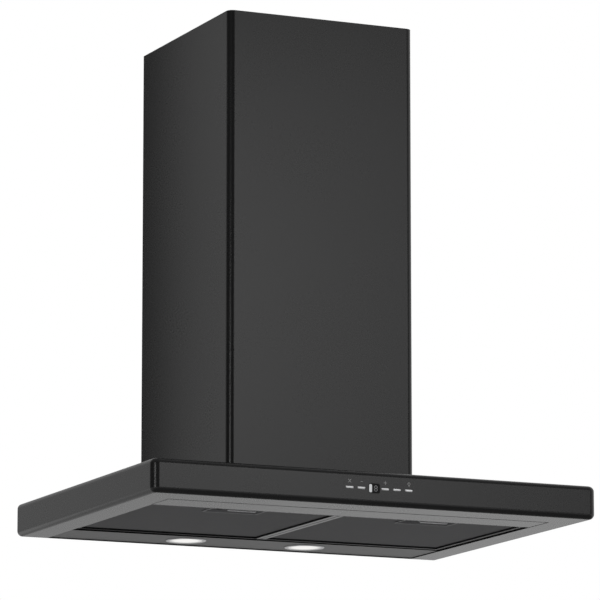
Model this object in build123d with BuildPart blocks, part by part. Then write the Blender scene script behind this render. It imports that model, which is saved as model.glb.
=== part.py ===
from build123d import *
import os

# A wall-hung chimney range hood of the 60 cm class, in millimetres.
# X runs to the right as seen from the front, Y towards the wall and Z up.
# The origin is on the wall, on the centre line, level with the canopy's lowest face.

# ---------------------------------------------------------------- driving sizes

# Canopy
canopy_width = 600.0
canopy_depth = 450.0
canopy_height = 42.0
canopy_sheet = 1.0
canopy_corner_radius = 8.5
canopy_bend_radius = 7.0
side_lip = 41.0
front_lip = 50.0

# Flat panels that lie on the lips
panel_sheet = 1.0
panel_overlap = 8.0
panel_fold_radius = 0.75
cross_panel_depth = 60.0
lamp_panel_depth = 85.0
panel_flange_height = 17.0
rear_flange_height = 10.0

# Chimney
hood_height = 648.0
chimney_width = 258.0
chimney_depth = 282.0
chimney_corner_radius = 7.5
chimney_sheet = 1.0
wall_return = 15.0
foot_flange = 8.0
foot_setback = 15.0
cover_screw_inset = 70.5
cover_gap = 0.7
upper_cover_base = 70.0
upper_cover_sink = 2.0
stop_size = (4.0, 20.0, 3.0)
stop_inset = 56.0
stop_chamfer = 1.2

# Clearances
seam_gap = 0.5
body_gap = 0.3
swing_gap = 1.0
slot_gap = 0.45
shaft_gap = 0.05
screw_gap = 0.2

# Lamps
lamp_spacing = 168.0
lamp_from_wall = 44.0
lamp_bezel_radius = 26.0
lamp_bezel_flange = 0.8
lamp_bezel_chamfer = 0.3
lamp_bezel_cover = 3.2
lamp_sleeve_wall = 1.2
lamp_sleeve_length = 8.0
lamp_lens_thickness = 2.4
lamp_body_height = 17.0
lamp_fin_count = 16
lamp_fin_depth = 3.0
lamp_fin_slot = 1.5
clip_width = 8.0
clip_sheet = 0.6
clip_reach = 9.0
clip_rise = 9.0
clip_post = 4.5
clip_tail = 3.0
clip_bend_radius = 1.0

# Grease filters
filter_recess = 2.0
filter_height = 9.0
filter_border = 9.5
filter_sheet = 1.0
filter_edge_radius = 0.8
mesh_inset = 1.3
mesh_top_gap = 0.7
mesh_pitch = 15.5
mesh_hole = 8.5
mesh_margin = 4.0
tab_width = 14.0
tab_thickness = 2.0
tab_reach = 5.0
tab_spacing = 150.0
tab_rise = 2.5

# Filter latches
latch_offset = 2.5
latch_width = 72.0
latch_depth = 36.0
latch_wall = 1.2
latch_floor_rise = 5.6
slider_side_gap = 4.8
slider_plate = 1.6
grip_width = 38.0
grip_side_gap = 5.8
grip_rear_ledge = 4.0
grip_thickness = 4.0
grip_drop = 3.4
grip_end_radius = 1.8
grip_rim_radius = 0.8
bolt_width = 24.0
bolt_height = 2.4
keeper_gap = 0.4
spring_length = 8.7
spring_wire_radius = 0.3
spring_radius = 1.4
spring_turns = 5
spring_offset = 15.0

# Controls
control_height = 21.0
button_pitch = 16.0
button_width = 10.0
button_bar = 2.0
button_corner = 0.8
button_rim_radius = 0.2
button_proud = 0.7
button_length = 9.0
button_travel = 1.2
retainer_rim = 1.2
retainer_thickness = 1.2
plunger_width = 4.0
display_shift = 1.0
display_side_gap = 2.5
display_height = 11.6
display_radius = 2.2
display_bar_width = 3.8
display_bar_height = 10.0
display_bar_inset = 0.5
display_bar_depth = 1.2
display_bar_corner = 1.5
display_bar_proud = 0.2
display_bar_rim = 0.14
control_box_margin = 14.0
control_box_height = 24.0
control_box_depth = 22.0
control_box_wall = 1.5
board_thickness = 1.6
switch_size = 6.0

# Blower casing
casing_sheet = 1.0
casing_side_gap = 8.0
casing_back_gap = 7.0
casing_height = 236.0
casing_foot = 10.0
casing_screw_inset = 41.0

# Scroll and wheel
scroll_side_gap = 10.0
scroll_wall = 2.0
scroll_throat = 9.0
scroll_front_step = 8.0
scroll_floor_step = 6.0
scroll_back_step = 14.0
scroll_front_gap = 4.0
scroll_floor_gap = 10.0
scroll_mouth_step = 9.0
scroll_mouth_depth = 84.0
inlet_step = 8.0
inlet_ring_width = 5.0
inlet_ring_depth = 6.0
inlet_ring_lip = 2.5
inlet_flare = 3.6
wheel_radius = 64.0
wheel_half_width = 60.0
wheel_hub_radius = 12.0
wheel_hub_length = 9.0
wheel_disc = 2.0
wheel_ring_depth = 6.0
wheel_ring_width = 2.0
blade_count = 30
blade_thickness = 1.2
blade_depth = 11.0
blade_lean = 35.0
shaft_radius = 4.0
shaft_chamfer = 0.5
motor_radius = 40.0
motor_boss_length = 10.0
motor_from_centre = 12.0
motor_boss_radius = 12.0
motor_edge_radius = 3.0
arm_hub_radius = 18.0
arm_width = 12.0
arm_thickness = 2.0
arm_count = 3

# Outlet
duct_diameter = 150.0
collar_play = 0.75
collar_wall = 2.0
collar_height = 48.0
collar_shift = 5.5
collar_flange = 10.0
collar_screw_count = 4
collar_screw_length = 9.0
collar_chamfer = 1.2
collar_flange_thickness = 2.5
gasket_thickness = 2.0
transition_gap = 0.1
flap_thickness = 1.2
flap_height = 14.0
flap_pin_radius = 1.5
flap_eye_radius = 2.8
flap_ledge = 3.0
flap_seat = 2.0

# Electronics
case_width = 124.0
case_height = 86.0
case_depth = 21.0
case_wall = 1.6
case_drop = 16.0
lid_thickness = 1.6
lid_front_gap = 2.7
lid_edge_radius = 0.64
capacitor_radius = 7.5
capacitor_length = 52.0
capacitor_offset = 31.0
capacitor_edge_radius = 1.0
gland_radius = 7.0
gland_bore_radius = 4.0
gland_length = 16.0
gland_nut_radius = 10.2
gland_nut_height = 5.4
gland_edge_radius = 2.1
gland_offset = 40.0

# Mounting frame and wall hooks
frame_sheet = 2.0
frame_stand_off = 5.0
frame_side_gap = 9.0
frame_rise = 64.0
window_height = 16.0
hook_spacing = 130.0
hook_width = 30.0
hook_sheet = 3.0
hook_rise = 24.0
hook_plate_above = 46.0
hook_plate_below = 18.0
hook_lip = 15.0
hook_lip_gap = 2.0
hook_screw_first = 20.0
hook_screw_pitch = 15.0
wall_screw_radius = 3.0
levelling_radius = 2.5
levelling_length = 14.0

# Ceiling bracket, carried by the upper cover
bracket_sheet = 1.5
bracket_height = 40.0
bracket_jog = 10.5
bracket_arm = 40.0
bracket_shoulder = 17.3
bracket_slot_spacing = 160.0
bracket_slot_length = 14.0
bracket_slot_radius = 3.0
bracket_drop = 10.0
bracket_screw_reach = 28.0

# Screws
screw_radius = 2.0
screw_head_radius = 3.6
screw_head_height = 2.2
screw_length = 6.0
screw_recess = (4.0, 0.9, 0.8)

# ---------------------------------------------------------------- worked-out places

sides = {"left": -1, "right": 1}

opening_half = canopy_width / 2 - side_lip
opening_front = -(canopy_depth - front_lip)
panel_top = canopy_sheet + panel_sheet
cross_panel_rear = opening_front + cross_panel_depth
lamp_panel_front = -lamp_panel_depth
wall_face = -canopy_sheet

filter_bottom = canopy_sheet + filter_recess
filter_width = opening_half - seam_gap - seam_gap / 2
filter_centre = seam_gap / 2 + filter_width / 2
filter_front = cross_panel_rear + swing_gap
filter_rear = lamp_panel_front - swing_gap
filter_depth = filter_rear - filter_front
filter_middle = (filter_rear + filter_front) / 2
mesh_bottom = filter_bottom + mesh_inset
mesh_thickness = filter_height - filter_sheet - mesh_inset - mesh_top_gap
mesh_front = filter_front + filter_border

latch_front = mesh_front
latch_middle = latch_front + latch_depth / 2
latch_ceiling = filter_bottom + latch_floor_rise
latch_inner_half = latch_width / 2 - latch_wall
slider_length = 2 * (latch_inner_half - slider_side_gap)
slider_depth = latch_depth - 2 * latch_wall - 3 * body_gap - spring_length
grip_offset = latch_inner_half - grip_side_gap - grip_width / 2

upper_inner_half = chimney_width / 2 - 2 * chimney_sheet - cover_gap
upper_front = -(chimney_depth - chimney_sheet - cover_gap)
upper_rear = -(chimney_sheet + cover_gap)
upper_cover_top = hood_height - upper_cover_sink

casing_half = upper_inner_half - casing_side_gap
casing_front = upper_front + chimney_sheet + lid_front_gap + lid_thickness + case_depth
casing_back = -casing_back_gap
casing_top = canopy_height + casing_height
casing_inner_front = casing_front + casing_sheet
casing_middle = (casing_front + casing_back) / 2
casing_depth = casing_back - casing_front

scroll_half_width = wheel_half_width + scroll_side_gap
scroll_top_reach = wheel_radius + scroll_throat
scroll_mouth_rise = scroll_top_reach + scroll_mouth_step
inlet_radius = wheel_radius - inlet_step
scroll_reach_front = scroll_top_reach + scroll_front_step
scroll_reach_down = scroll_reach_front + scroll_floor_step
scroll_reach_back = scroll_reach_front + scroll_back_step
wheel_y = casing_inner_front + scroll_front_gap + scroll_reach_front
wheel_z = canopy_height + scroll_floor_gap + scroll_reach_down
mouth_z = wheel_z + scroll_mouth_rise
mouth_back = wheel_y + scroll_reach_back
mouth_front = mouth_back - scroll_mouth_depth
mouth_middle = (mouth_back + mouth_front) / 2

collar_radius = duct_diameter / 2 - collar_play
collar_inner_radius = collar_radius - collar_wall
collar_y = casing_middle + collar_shift
collar_base = casing_top
flap_z = collar_base + flap_height

frame_width = chimney_width - 2 * (wall_return + frame_side_gap)
frame_front = -(frame_stand_off + frame_sheet)
frame_top = casing_top + frame_rise
window_top = casing_top + hook_rise

lamp_sleeve_radius = lamp_bezel_radius - lamp_bezel_cover

button_room = button_width + 2 * retainer_rim
display_centre = display_shift - button_pitch / 2
display_width = 2 * (button_pitch - display_side_gap) - button_room
control_box_width = 5 * button_pitch + 2 * control_box_margin

button_places = {
    "fan_off": -2.5,
    "slower": -1.5,
    "faster": 0.5,
    "timer": 1.5,
    "light": 2.5,
}

# ---------------------------------------------------------------- shared shapes


def canopy_block(inset):
    """The canopy's outer form drawn in by an inset, with its four bends along front and sides."""
    with BuildPart() as block:
        with BuildSketch(Plane.XY.offset(inset)) as outline:
            with Locations((0, -canopy_depth / 2)):
                Rectangle(canopy_width - 2 * inset, canopy_depth - 2 * inset)
            fillet(outline.vertices().group_by(Axis.Y)[0], canopy_corner_radius - inset)
        extrude(amount=canopy_height - 2 * inset)
        rims = block.faces().filter_by(Axis.Z).edges()
        rear_y = rims.sort_by(Axis.Y)[-1].center().Y
        bends = rims.filter_by(lambda edge: edge.center().Y < rear_y - canopy_sheet)
        fillet(bends, canopy_bend_radius - inset)
    return block.part


def cover_section(half_width, front, rear, corner, returns):
    """The plan of a chimney cover: a U of sheet, open to the wall between its two returns."""
    with BuildSketch() as section:
        with Locations((0, (front + rear) / 2)):
            Rectangle(2 * half_width, rear - front)
        fillet(section.vertices().group_by(Axis.Y)[0], corner)
        offset(section.sketch, amount=-chimney_sheet, mode=Mode.SUBTRACT)
        open_width = 2 * (half_width - returns)
        with Locations((0, rear)):
            Rectangle(open_width, 2 * chimney_sheet + body_gap, mode=Mode.SUBTRACT)
    return section.sketch


def round_the_collar():
    """Places for the collar's screws, evenly spaced and turned by half a step."""
    return PolarLocations(
        collar_radius + collar_flange / 2,
        collar_screw_count,
        start_angle=180 / collar_screw_count,
    )


def scroll_outline(grow):
    """The side view of the scroll, in Y and Z about the wheel's axis, drawn out by grow."""
    front = scroll_reach_front + grow
    down = scroll_reach_down + grow
    back = scroll_reach_back + grow
    mouth_edge = scroll_reach_back - scroll_mouth_depth - grow
    foot_y = down - front
    shoulder = (mouth_edge, scroll_top_reach + grow - scroll_wall)
    nose = (-front, 0)
    foot = (foot_y, -down)
    flank = (back, back - foot_y - down)
    front_rim = (mouth_edge, scroll_mouth_rise)
    back_rim = (back, scroll_mouth_rise)
    with BuildSketch() as outline:
        with BuildLine():
            Line(front_rim, shoulder)
            TangentArc(nose, shoulder, tangent=(0, 1))
            TangentArc(nose, foot, tangent=(0, -1))
            TangentArc(foot, flank, tangent=(1, 0))
            Line(flank, back_rim)
            Line(back_rim, front_rim)
        make_face()
    return outline.sketch


def pan_screws(seat, places, length):
    """Pan-head screws whose heads stand on the seat plane and whose shanks run behind it."""
    with BuildPart() as screws:
        with BuildSketch(seat):
            with Locations(*places):
                Circle(screw_head_radius)
        extrude(amount=screw_head_height)
        with BuildSketch(seat):
            with Locations(*places):
                Circle(screw_radius)
        extrude(amount=-length)
        with BuildSketch(seat.offset(screw_head_height)):
            with Locations(*places):
                Rectangle(screw_recess[0], screw_recess[1])
                Rectangle(screw_recess[1], screw_recess[0])
        extrude(amount=-screw_recess[2], mode=Mode.SUBTRACT)
    return screws.part


os.makedirs("parts", exist_ok=True)

# ---------------------------------------------------------------- canopy

cover_screw_x = chimney_width / 2 - chimney_sheet - foot_flange / 2
cover_screw_places = [
    (side * cover_screw_x, y)
    for side in sides.values()
    for y in (-cover_screw_inset, cover_screw_inset - chimney_depth)
]
casing_screw_x = casing_half - casing_foot / 2
casing_screw_places = [
    (side * casing_screw_x, y)
    for side in sides.values()
    for y in (casing_front + casing_screw_inset, casing_back - casing_screw_inset)
]
fascia = Plane.XZ.offset(canopy_depth)
button_centres = [
    (place * button_pitch, control_height) for place in button_places.values()
]

with BuildPart() as canopy_shell:
    add(canopy_block(0))
    add(canopy_block(canopy_sheet), mode=Mode.SUBTRACT)
    with BuildSketch(Plane.XY):
        with Locations((0, (opening_front + wall_face) / 2)):
            Rectangle(2 * opening_half, wall_face - opening_front)
    extrude(amount=canopy_sheet, mode=Mode.SUBTRACT)
    with BuildSketch(Plane.XY.offset(canopy_height)):
        with Locations((0, casing_middle)):
            Rectangle(2 * (casing_half - casing_foot), casing_depth - 2 * casing_foot)
        with Locations(*cover_screw_places, *casing_screw_places):
            Circle(screw_radius + screw_gap)
    extrude(amount=-canopy_sheet, mode=Mode.SUBTRACT)
    with BuildSketch(fascia):
        with Locations(*button_centres):
            RectangleRounded(
                button_width + 2 * slot_gap,
                button_bar + 2 * slot_gap,
                button_bar / 2,
            )
        with Locations((display_centre, control_height)):
            RectangleRounded(
                display_width + 2 * screw_gap,
                display_height + 2 * screw_gap,
                display_radius + screw_gap,
            )
    extrude(amount=-canopy_sheet, mode=Mode.SUBTRACT)
canopy_shell.part.label = "canopy_shell"
export_step(canopy_shell.part, "parts/canopy_shell.step")

latch_centres = {
    side: sign * filter_centre + sign * latch_offset for side, sign in sides.items()
}
keeper_z = latch_ceiling - slider_plate / 2
panel_half = opening_half + panel_overlap

with BuildPart() as front_cross_panel:
    with BuildSketch(Plane.XY.offset(canopy_sheet)):
        with Locations((0, (opening_front - panel_overlap + cross_panel_rear) / 2)):
            Rectangle(2 * panel_half, cross_panel_depth + panel_overlap)
    extrude(amount=panel_sheet)
    with BuildSketch(Plane.XY.offset(canopy_sheet)):
        with Locations((0, cross_panel_rear - panel_sheet / 2)):
            Rectangle(2 * opening_half, panel_sheet)
    extrude(amount=panel_flange_height)
    fold = front_cross_panel.edges().filter_by(Axis.X).group_by(Axis.Z)[0].sort_by(Axis.Y)[-1]
    fillet(fold, panel_fold_radius)
    with BuildSketch(Plane.XZ.offset(-cross_panel_rear)):
        with Locations(*[(x, keeper_z) for x in latch_centres.values()]):
            Rectangle(bolt_width + 2 * swing_gap, bolt_height + 2 * swing_gap)
    extrude(amount=panel_sheet, mode=Mode.SUBTRACT)
front_cross_panel.part.label = "front_cross_panel"
export_step(front_cross_panel.part, "parts/front_cross_panel.step")

lamp_centres = [(sign * lamp_spacing / 2, -lamp_from_wall) for sign in sides.values()]
lamp_hole_radius = lamp_sleeve_radius + screw_gap
tab_places = [
    (sign * filter_centre + shift * tab_spacing / 2)
    for sign in sides.values()
    for shift in (-1, 1)
]
tab_z = filter_bottom + tab_rise + tab_thickness / 2
tab_slot_low = tab_z - tab_thickness / 2 - swing_gap
tab_slot_high = canopy_sheet + panel_flange_height - panel_sheet

with BuildPart() as lamp_panel:
    with BuildSketch(Plane.XY.offset(canopy_sheet)):
        with Locations((0, (lamp_panel_front + wall_face) / 2)):
            Rectangle(2 * panel_half, wall_face - lamp_panel_front)
    extrude(amount=panel_sheet)
    with BuildSketch(Plane.XY.offset(canopy_sheet)):
        with Locations((0, lamp_panel_front + panel_sheet / 2)):
            Rectangle(2 * opening_half, panel_sheet)
    extrude(amount=panel_flange_height)
    with BuildSketch(Plane.XY.offset(canopy_sheet)):
        with Locations((0, wall_face - panel_sheet / 2)):
            Rectangle(2 * opening_half, panel_sheet)
    extrude(amount=rear_flange_height)
    fold = lamp_panel.edges().filter_by(Axis.X).group_by(Axis.Z)[0].sort_by(Axis.Y)[0]
    fillet(fold, panel_fold_radius)
    with BuildSketch(Plane.XY.offset(canopy_sheet)):
        with Locations(*lamp_centres):
            Circle(lamp_hole_radius)
    extrude(amount=panel_sheet, mode=Mode.SUBTRACT)
    with BuildSketch(Plane.XZ.offset(-lamp_panel_front)):
        with Locations(*[(x, (tab_slot_low + tab_slot_high) / 2) for x in tab_places]):
            Rectangle(tab_width + 2 * swing_gap, tab_slot_high - tab_slot_low)
    extrude(amount=-panel_sheet, mode=Mode.SUBTRACT)
lamp_panel.part.label = "lamp_panel"
export_step(lamp_panel.part, "parts/lamp_panel.step")

# ---------------------------------------------------------------- lamps

bezel_bottom = canopy_sheet - lamp_bezel_flange
lamp_sleeve_inner = lamp_sleeve_radius - lamp_sleeve_wall
lamp_body_base = bezel_bottom + lamp_sleeve_length
clip_z = panel_top + body_gap

for (side, sign), centre in zip(sides.items(), lamp_centres):
    lamp_plane = Plane.XY.offset(bezel_bottom)
    with BuildPart() as lamp_bezel:
        with BuildSketch(lamp_plane):
            with Locations(centre):
                Circle(lamp_bezel_radius)
                Circle(lamp_sleeve_inner, mode=Mode.SUBTRACT)
        extrude(amount=lamp_bezel_flange)
        with BuildSketch(lamp_plane):
            with Locations(centre):
                Circle(lamp_sleeve_radius)
                Circle(lamp_sleeve_inner, mode=Mode.SUBTRACT)
        extrude(amount=lamp_sleeve_length)
        lower_rims = lamp_bezel.edges().filter_by(GeomType.CIRCLE).group_by(Axis.Z)[0]
        chamfer(lower_rims.sort_by(SortBy.LENGTH)[-1], lamp_bezel_chamfer)
    lamp_bezel.part.label = f"lamp_bezel_{side}"
    export_step(lamp_bezel.part, f"parts/lamp_bezel_{side}.step")

    with BuildPart() as lamp_lens:
        with BuildSketch(Plane.XY.offset(bezel_bottom + lamp_bezel_flange / 2)):
            with Locations(centre):
                Circle(lamp_sleeve_inner)
        extrude(amount=lamp_lens_thickness)
    lamp_lens.part.label = f"lamp_lens_{side}"
    export_step(lamp_lens.part, f"parts/lamp_lens_{side}.step")

    with BuildPart() as lamp_body:
        with BuildSketch(Plane.XY.offset(lamp_body_base)):
            with Locations(centre):
                Circle(lamp_sleeve_radius)
        extrude(amount=lamp_body_height)
        with BuildSketch(Plane.XY.offset(lamp_body_base + clip_rise)):
            with Locations(centre):
                with PolarLocations(lamp_sleeve_radius, lamp_fin_count):
                    Rectangle(2 * lamp_fin_depth, lamp_fin_slot)
        extrude(amount=lamp_body_height, mode=Mode.SUBTRACT)
    lamp_body.part.label = f"lamp_body_{side}"
    export_step(lamp_body.part, f"parts/lamp_body_{side}.step")

with BuildPart() as lamp_clips:
    for lamp_x, lamp_y in lamp_centres:
        for sign in sides.values():
            root_x = lamp_x + sign * lamp_sleeve_radius
            tip_x = root_x + sign * clip_reach
            with BuildSketch(Plane.XZ.offset(-lamp_y - clip_width / 2)):
                with BuildLine():
                    FilletPolyline(
                        (root_x + sign * clip_sheet / 2, clip_z + clip_rise + clip_post),
                        (root_x + sign * clip_sheet / 2, clip_z + clip_rise),
                        (tip_x, clip_z + clip_sheet / 2),
                        (tip_x + sign * clip_tail, clip_z + clip_tail),
                        radius=clip_bend_radius,
                    )
                trace(line_width=clip_sheet)
            extrude(amount=clip_width)
lamp_clips.part.label = "lamp_clips"
export_step(lamp_clips.part, "parts/lamp_clips.step")

# ---------------------------------------------------------------- grease filters

for side, sign in sides.items():
    centre_x = sign * filter_centre
    latch_x = latch_centres[side]
    own_tabs = [centre_x + shift * tab_spacing / 2 for shift in (-1, 1)]
    border_inner_width = filter_width - 2 * filter_border
    border_inner_depth = filter_depth - 2 * filter_border
    tab_length = filter_sheet + swing_gap + panel_sheet + tab_reach
    tab_middle = filter_rear - filter_sheet + tab_length / 2

    with BuildPart() as filter_frame:
        with BuildSketch(Plane.XY.offset(filter_bottom)):
            with Locations((centre_x, filter_middle)):
                Rectangle(filter_width, filter_depth)
        extrude(amount=filter_height)
        lower_edges = filter_frame.faces().sort_by(Axis.Z)[0].edges()
        fillet(lower_edges, filter_edge_radius)
        with BuildSketch(Plane.XY.offset(filter_bottom)):
            with Locations((centre_x, filter_middle)):
                Rectangle(border_inner_width, border_inner_depth)
        extrude(amount=filter_height, mode=Mode.SUBTRACT)
        with BuildSketch(Plane.XY.offset(filter_bottom + filter_sheet)):
            with Locations((centre_x, filter_middle)):
                Rectangle(filter_width - 2 * filter_sheet, filter_depth - 2 * filter_sheet)
        extrude(amount=filter_height - 2 * filter_sheet, mode=Mode.SUBTRACT)
        with BuildSketch(Plane.XY.offset(tab_z - tab_thickness / 2)):
            with Locations(*[(x, tab_middle) for x in own_tabs]):
                Rectangle(tab_width, tab_length)
        extrude(amount=tab_thickness)
        with BuildSketch(Plane.XZ.offset(-filter_front)):
            with Locations((latch_x, keeper_z)):
                Rectangle(bolt_width + 2 * body_gap, bolt_height + 2 * body_gap)
        extrude(amount=-filter_sheet, mode=Mode.SUBTRACT)
    filter_frame.part.label = f"filter_frame_{side}"
    export_step(filter_frame.part, f"parts/filter_frame_{side}.step")

    mesh_width = filter_width - 2 * filter_sheet - 2 * body_gap
    mesh_depth = filter_depth - 2 * filter_sheet - 2 * body_gap
    mesh_columns = int((border_inner_width - mesh_margin) // mesh_pitch)
    mesh_rows = int((border_inner_depth - mesh_margin) // mesh_pitch)
    with BuildPart() as filter_mesh:
        with BuildSketch(Plane.XY.offset(mesh_bottom)):
            with Locations((centre_x, filter_middle)):
                Rectangle(mesh_width, mesh_depth)
            with Locations((centre_x, filter_middle)):
                with GridLocations(mesh_pitch, mesh_pitch, mesh_columns, mesh_rows):
                    Rectangle(mesh_hole, mesh_hole, rotation=45, mode=Mode.SUBTRACT)
            with Locations((latch_x, latch_middle - mesh_pitch / 2)):
                Rectangle(
                    latch_width + 2 * seam_gap,
                    latch_depth + 2 * seam_gap + mesh_pitch,
                    mode=Mode.SUBTRACT,
                )
        extrude(amount=mesh_thickness)
    filter_mesh.part.label = f"filter_mesh_{side}"
    export_step(filter_mesh.part, f"parts/filter_mesh_{side}.step")

    housing_top = latch_ceiling + latch_wall
    with BuildPart() as latch_housing:
        with BuildSketch(Plane.XY.offset(filter_bottom)):
            with Locations((latch_x, latch_middle)):
                RectangleRounded(latch_width, latch_depth, 2 * latch_wall)
        extrude(amount=housing_top - filter_bottom)
        with BuildSketch(Plane.XY.offset(filter_bottom)):
            with Locations((latch_x, latch_middle)):
                RectangleRounded(
                    latch_width - 2 * latch_wall,
                    latch_depth - 2 * latch_wall,
                    latch_wall,
                )
        extrude(amount=latch_ceiling - filter_bottom, mode=Mode.SUBTRACT)
        with BuildSketch(Plane.XZ.offset(-latch_front)):
            with Locations((latch_x, keeper_z)):
                Rectangle(bolt_width + 2 * body_gap, bolt_height + 2 * body_gap)
        extrude(amount=-latch_wall, mode=Mode.SUBTRACT)
    latch_housing.part.label = f"latch_housing_{side}"
    export_step(latch_housing.part, f"parts/latch_housing_{side}.step")

    # The slider lies under the recess's ceiling, with room behind it to slide back.
    slider_top = latch_ceiling - body_gap
    slider_front = latch_front + latch_wall + body_gap
    grip_y = slider_front + slider_depth - grip_rear_ledge - grip_thickness / 2
    bolt_front = cross_panel_rear + keeper_gap
    with BuildPart() as latch_slider:
        with BuildSketch(Plane.XY.offset(slider_top - slider_plate)):
            with Locations((latch_x, slider_front + slider_depth / 2)):
                Rectangle(slider_length, slider_depth)
        extrude(amount=slider_plate)
        with BuildSketch(Plane.XY.offset(slider_top - slider_plate)):
            with Locations((latch_x + grip_offset, grip_y)):
                RectangleRounded(grip_width, grip_thickness, grip_end_radius)
        extrude(amount=-grip_drop)
        grip_rim = latch_slider.faces().sort_by(Axis.Z)[0].edges()
        fillet(grip_rim, grip_rim_radius)
        with BuildSketch(Plane.XY.offset(slider_top - slider_plate)):
            with Locations((latch_x, (bolt_front + slider_front) / 2)):
                Rectangle(bolt_width, slider_front - bolt_front)
        extrude(amount=slider_plate)
    latch_slider.part.label = f"latch_slider_{side}"
    export_step(latch_slider.part, f"parts/latch_slider_{side}.step")

    # A small compression spring pushes the slider forward.
    spring_start = slider_front + slider_depth + body_gap
    spring_end = latch_front + latch_depth - latch_wall - body_gap
    spring_x = latch_x - spring_offset
    spring_z = slider_top - spring_radius
    spring_path = Helix(
        (spring_end - spring_start - 2 * spring_wire_radius) / spring_turns,
        spring_end - spring_start - 2 * spring_wire_radius,
        spring_radius - spring_wire_radius,
        center=(spring_x, spring_start + spring_wire_radius, spring_z),
        direction=(0, 1, 0),
    )
    with BuildPart() as latch_spring:
        with BuildSketch(Plane(origin=spring_path @ 0, z_dir=spring_path % 0)):
            Circle(spring_wire_radius)
        sweep(path=spring_path, is_frenet=True)
    latch_spring.part.label = f"latch_spring_{side}"
    export_step(latch_spring.part, f"parts/latch_spring_{side}.step")

# ---------------------------------------------------------------- controls

fascia_inner = -(canopy_depth - canopy_sheet)
board_front = fascia_inner + button_length + button_travel + switch_size / 2
display_depth = canopy_depth + board_front

with BuildPart() as control_housing:
    with BuildSketch(Plane.XZ.offset(-fascia_inner)):
        with Locations((0, control_height)):
            RectangleRounded(control_box_width, control_box_height, 2 * control_box_wall)
    extrude(amount=-control_box_depth)
    with BuildSketch(Plane.XZ.offset(-fascia_inner)):
        with Locations((0, control_height)):
            RectangleRounded(
                control_box_width - 2 * control_box_wall,
                control_box_height - 2 * control_box_wall,
                control_box_wall,
            )
    extrude(amount=-(control_box_depth - control_box_wall), mode=Mode.SUBTRACT)
control_housing.part.label = "control_housing"
export_step(control_housing.part, "parts/control_housing.step")

with BuildPart() as control_board:
    with BuildSketch(Plane.XZ.offset(-board_front)):
        with Locations((0, control_height)):
            RectangleRounded(
                control_box_width - 2 * control_box_wall - 2 * body_gap,
                control_box_height - 2 * control_box_wall - 2 * body_gap,
                control_box_wall,
            )
    extrude(amount=-board_thickness)
    with BuildSketch(Plane.XZ.offset(-board_front)):
        with Locations(*button_centres):
            Rectangle(switch_size, switch_size)
    extrude(amount=switch_size / 2 - body_gap)
control_board.part.label = "control_board"
export_step(control_board.part, "parts/control_board.step")

display_face = Plane.XZ.offset(canopy_depth)
bar_x = display_centre - display_width / 2 + display_bar_inset + display_bar_width / 2

with BuildPart() as display_window:
    with BuildSketch(display_face):
        with Locations((display_centre, control_height)):
            RectangleRounded(display_width, display_height, display_radius)
    extrude(amount=-display_depth)
    with BuildSketch(display_face):
        with Locations((bar_x, control_height)):
            RectangleRounded(display_bar_width, display_bar_height, display_bar_corner)
    extrude(amount=-display_bar_depth, mode=Mode.SUBTRACT)
display_window.part.label = "display_window"
export_step(display_window.part, "parts/display_window.step")

with BuildPart() as display_bar:
    with BuildSketch(display_face.offset(-display_bar_depth)):
        with Locations((bar_x, control_height)):
            RectangleRounded(display_bar_width, display_bar_height, display_bar_corner)
    extrude(amount=display_bar_depth + display_bar_proud)
    fillet(display_bar.faces().sort_by(Axis.Y)[0].edges(), display_bar_rim)
display_bar.part.label = "display_bar"
export_step(display_bar.part, "parts/display_bar.step")

for button_name, place in button_places.items():
    button_x = place * button_pitch
    with BuildPart() as push_button:
        with BuildSketch(fascia.offset(button_proud)):
            with Locations((button_x, control_height)):
                RectangleRounded(button_width, button_bar, button_corner)
        extrude(amount=-(button_proud + canopy_sheet + body_gap))
        fillet(push_button.faces().sort_by(Axis.Y)[0].edges(), button_rim_radius)
        with BuildSketch(Plane.XZ.offset(-fascia_inner - body_gap)):
            with Locations((button_x, control_height)):
                Rectangle(button_room, button_bar + 2 * retainer_rim)
        extrude(amount=-retainer_thickness)
        with BuildSketch(Plane.XZ.offset(-fascia_inner - body_gap)):
            with Locations((button_x, control_height)):
                Rectangle(plunger_width, button_bar)
        extrude(amount=-(button_length - body_gap))
    push_button.part.label = f"button_{button_name}"
    export_step(push_button.part, f"parts/button_{button_name}.step")

# ---------------------------------------------------------------- chimney

with BuildPart() as chimney_lower_cover:
    with BuildSketch(Plane.XY.offset(canopy_height)):
        add(cover_section(chimney_width / 2, -chimney_depth, 0, chimney_corner_radius, wall_return))
    extrude(amount=hood_height - canopy_height)
    foot_x = chimney_width / 2 - chimney_sheet - foot_flange / 2
    foot_length = chimney_depth - 2 * foot_setback
    with BuildSketch(Plane.XY.offset(canopy_height)):
        with Locations((-foot_x, -chimney_depth / 2), (foot_x, -chimney_depth / 2)):
            Rectangle(foot_flange, foot_length)
        with Locations(*cover_screw_places):
            Circle(screw_radius + screw_gap, mode=Mode.SUBTRACT)
    extrude(amount=chimney_sheet)
chimney_lower_cover.part.label = "chimney_lower_cover"
export_step(chimney_lower_cover.part, "parts/chimney_lower_cover.step")

upper_corner = chimney_corner_radius - chimney_sheet
bracket_top = upper_cover_top - bracket_drop
bracket_screw_z = bracket_top - bracket_height / 2
bracket_screw_y = -(bracket_jog + bracket_screw_reach)

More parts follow.
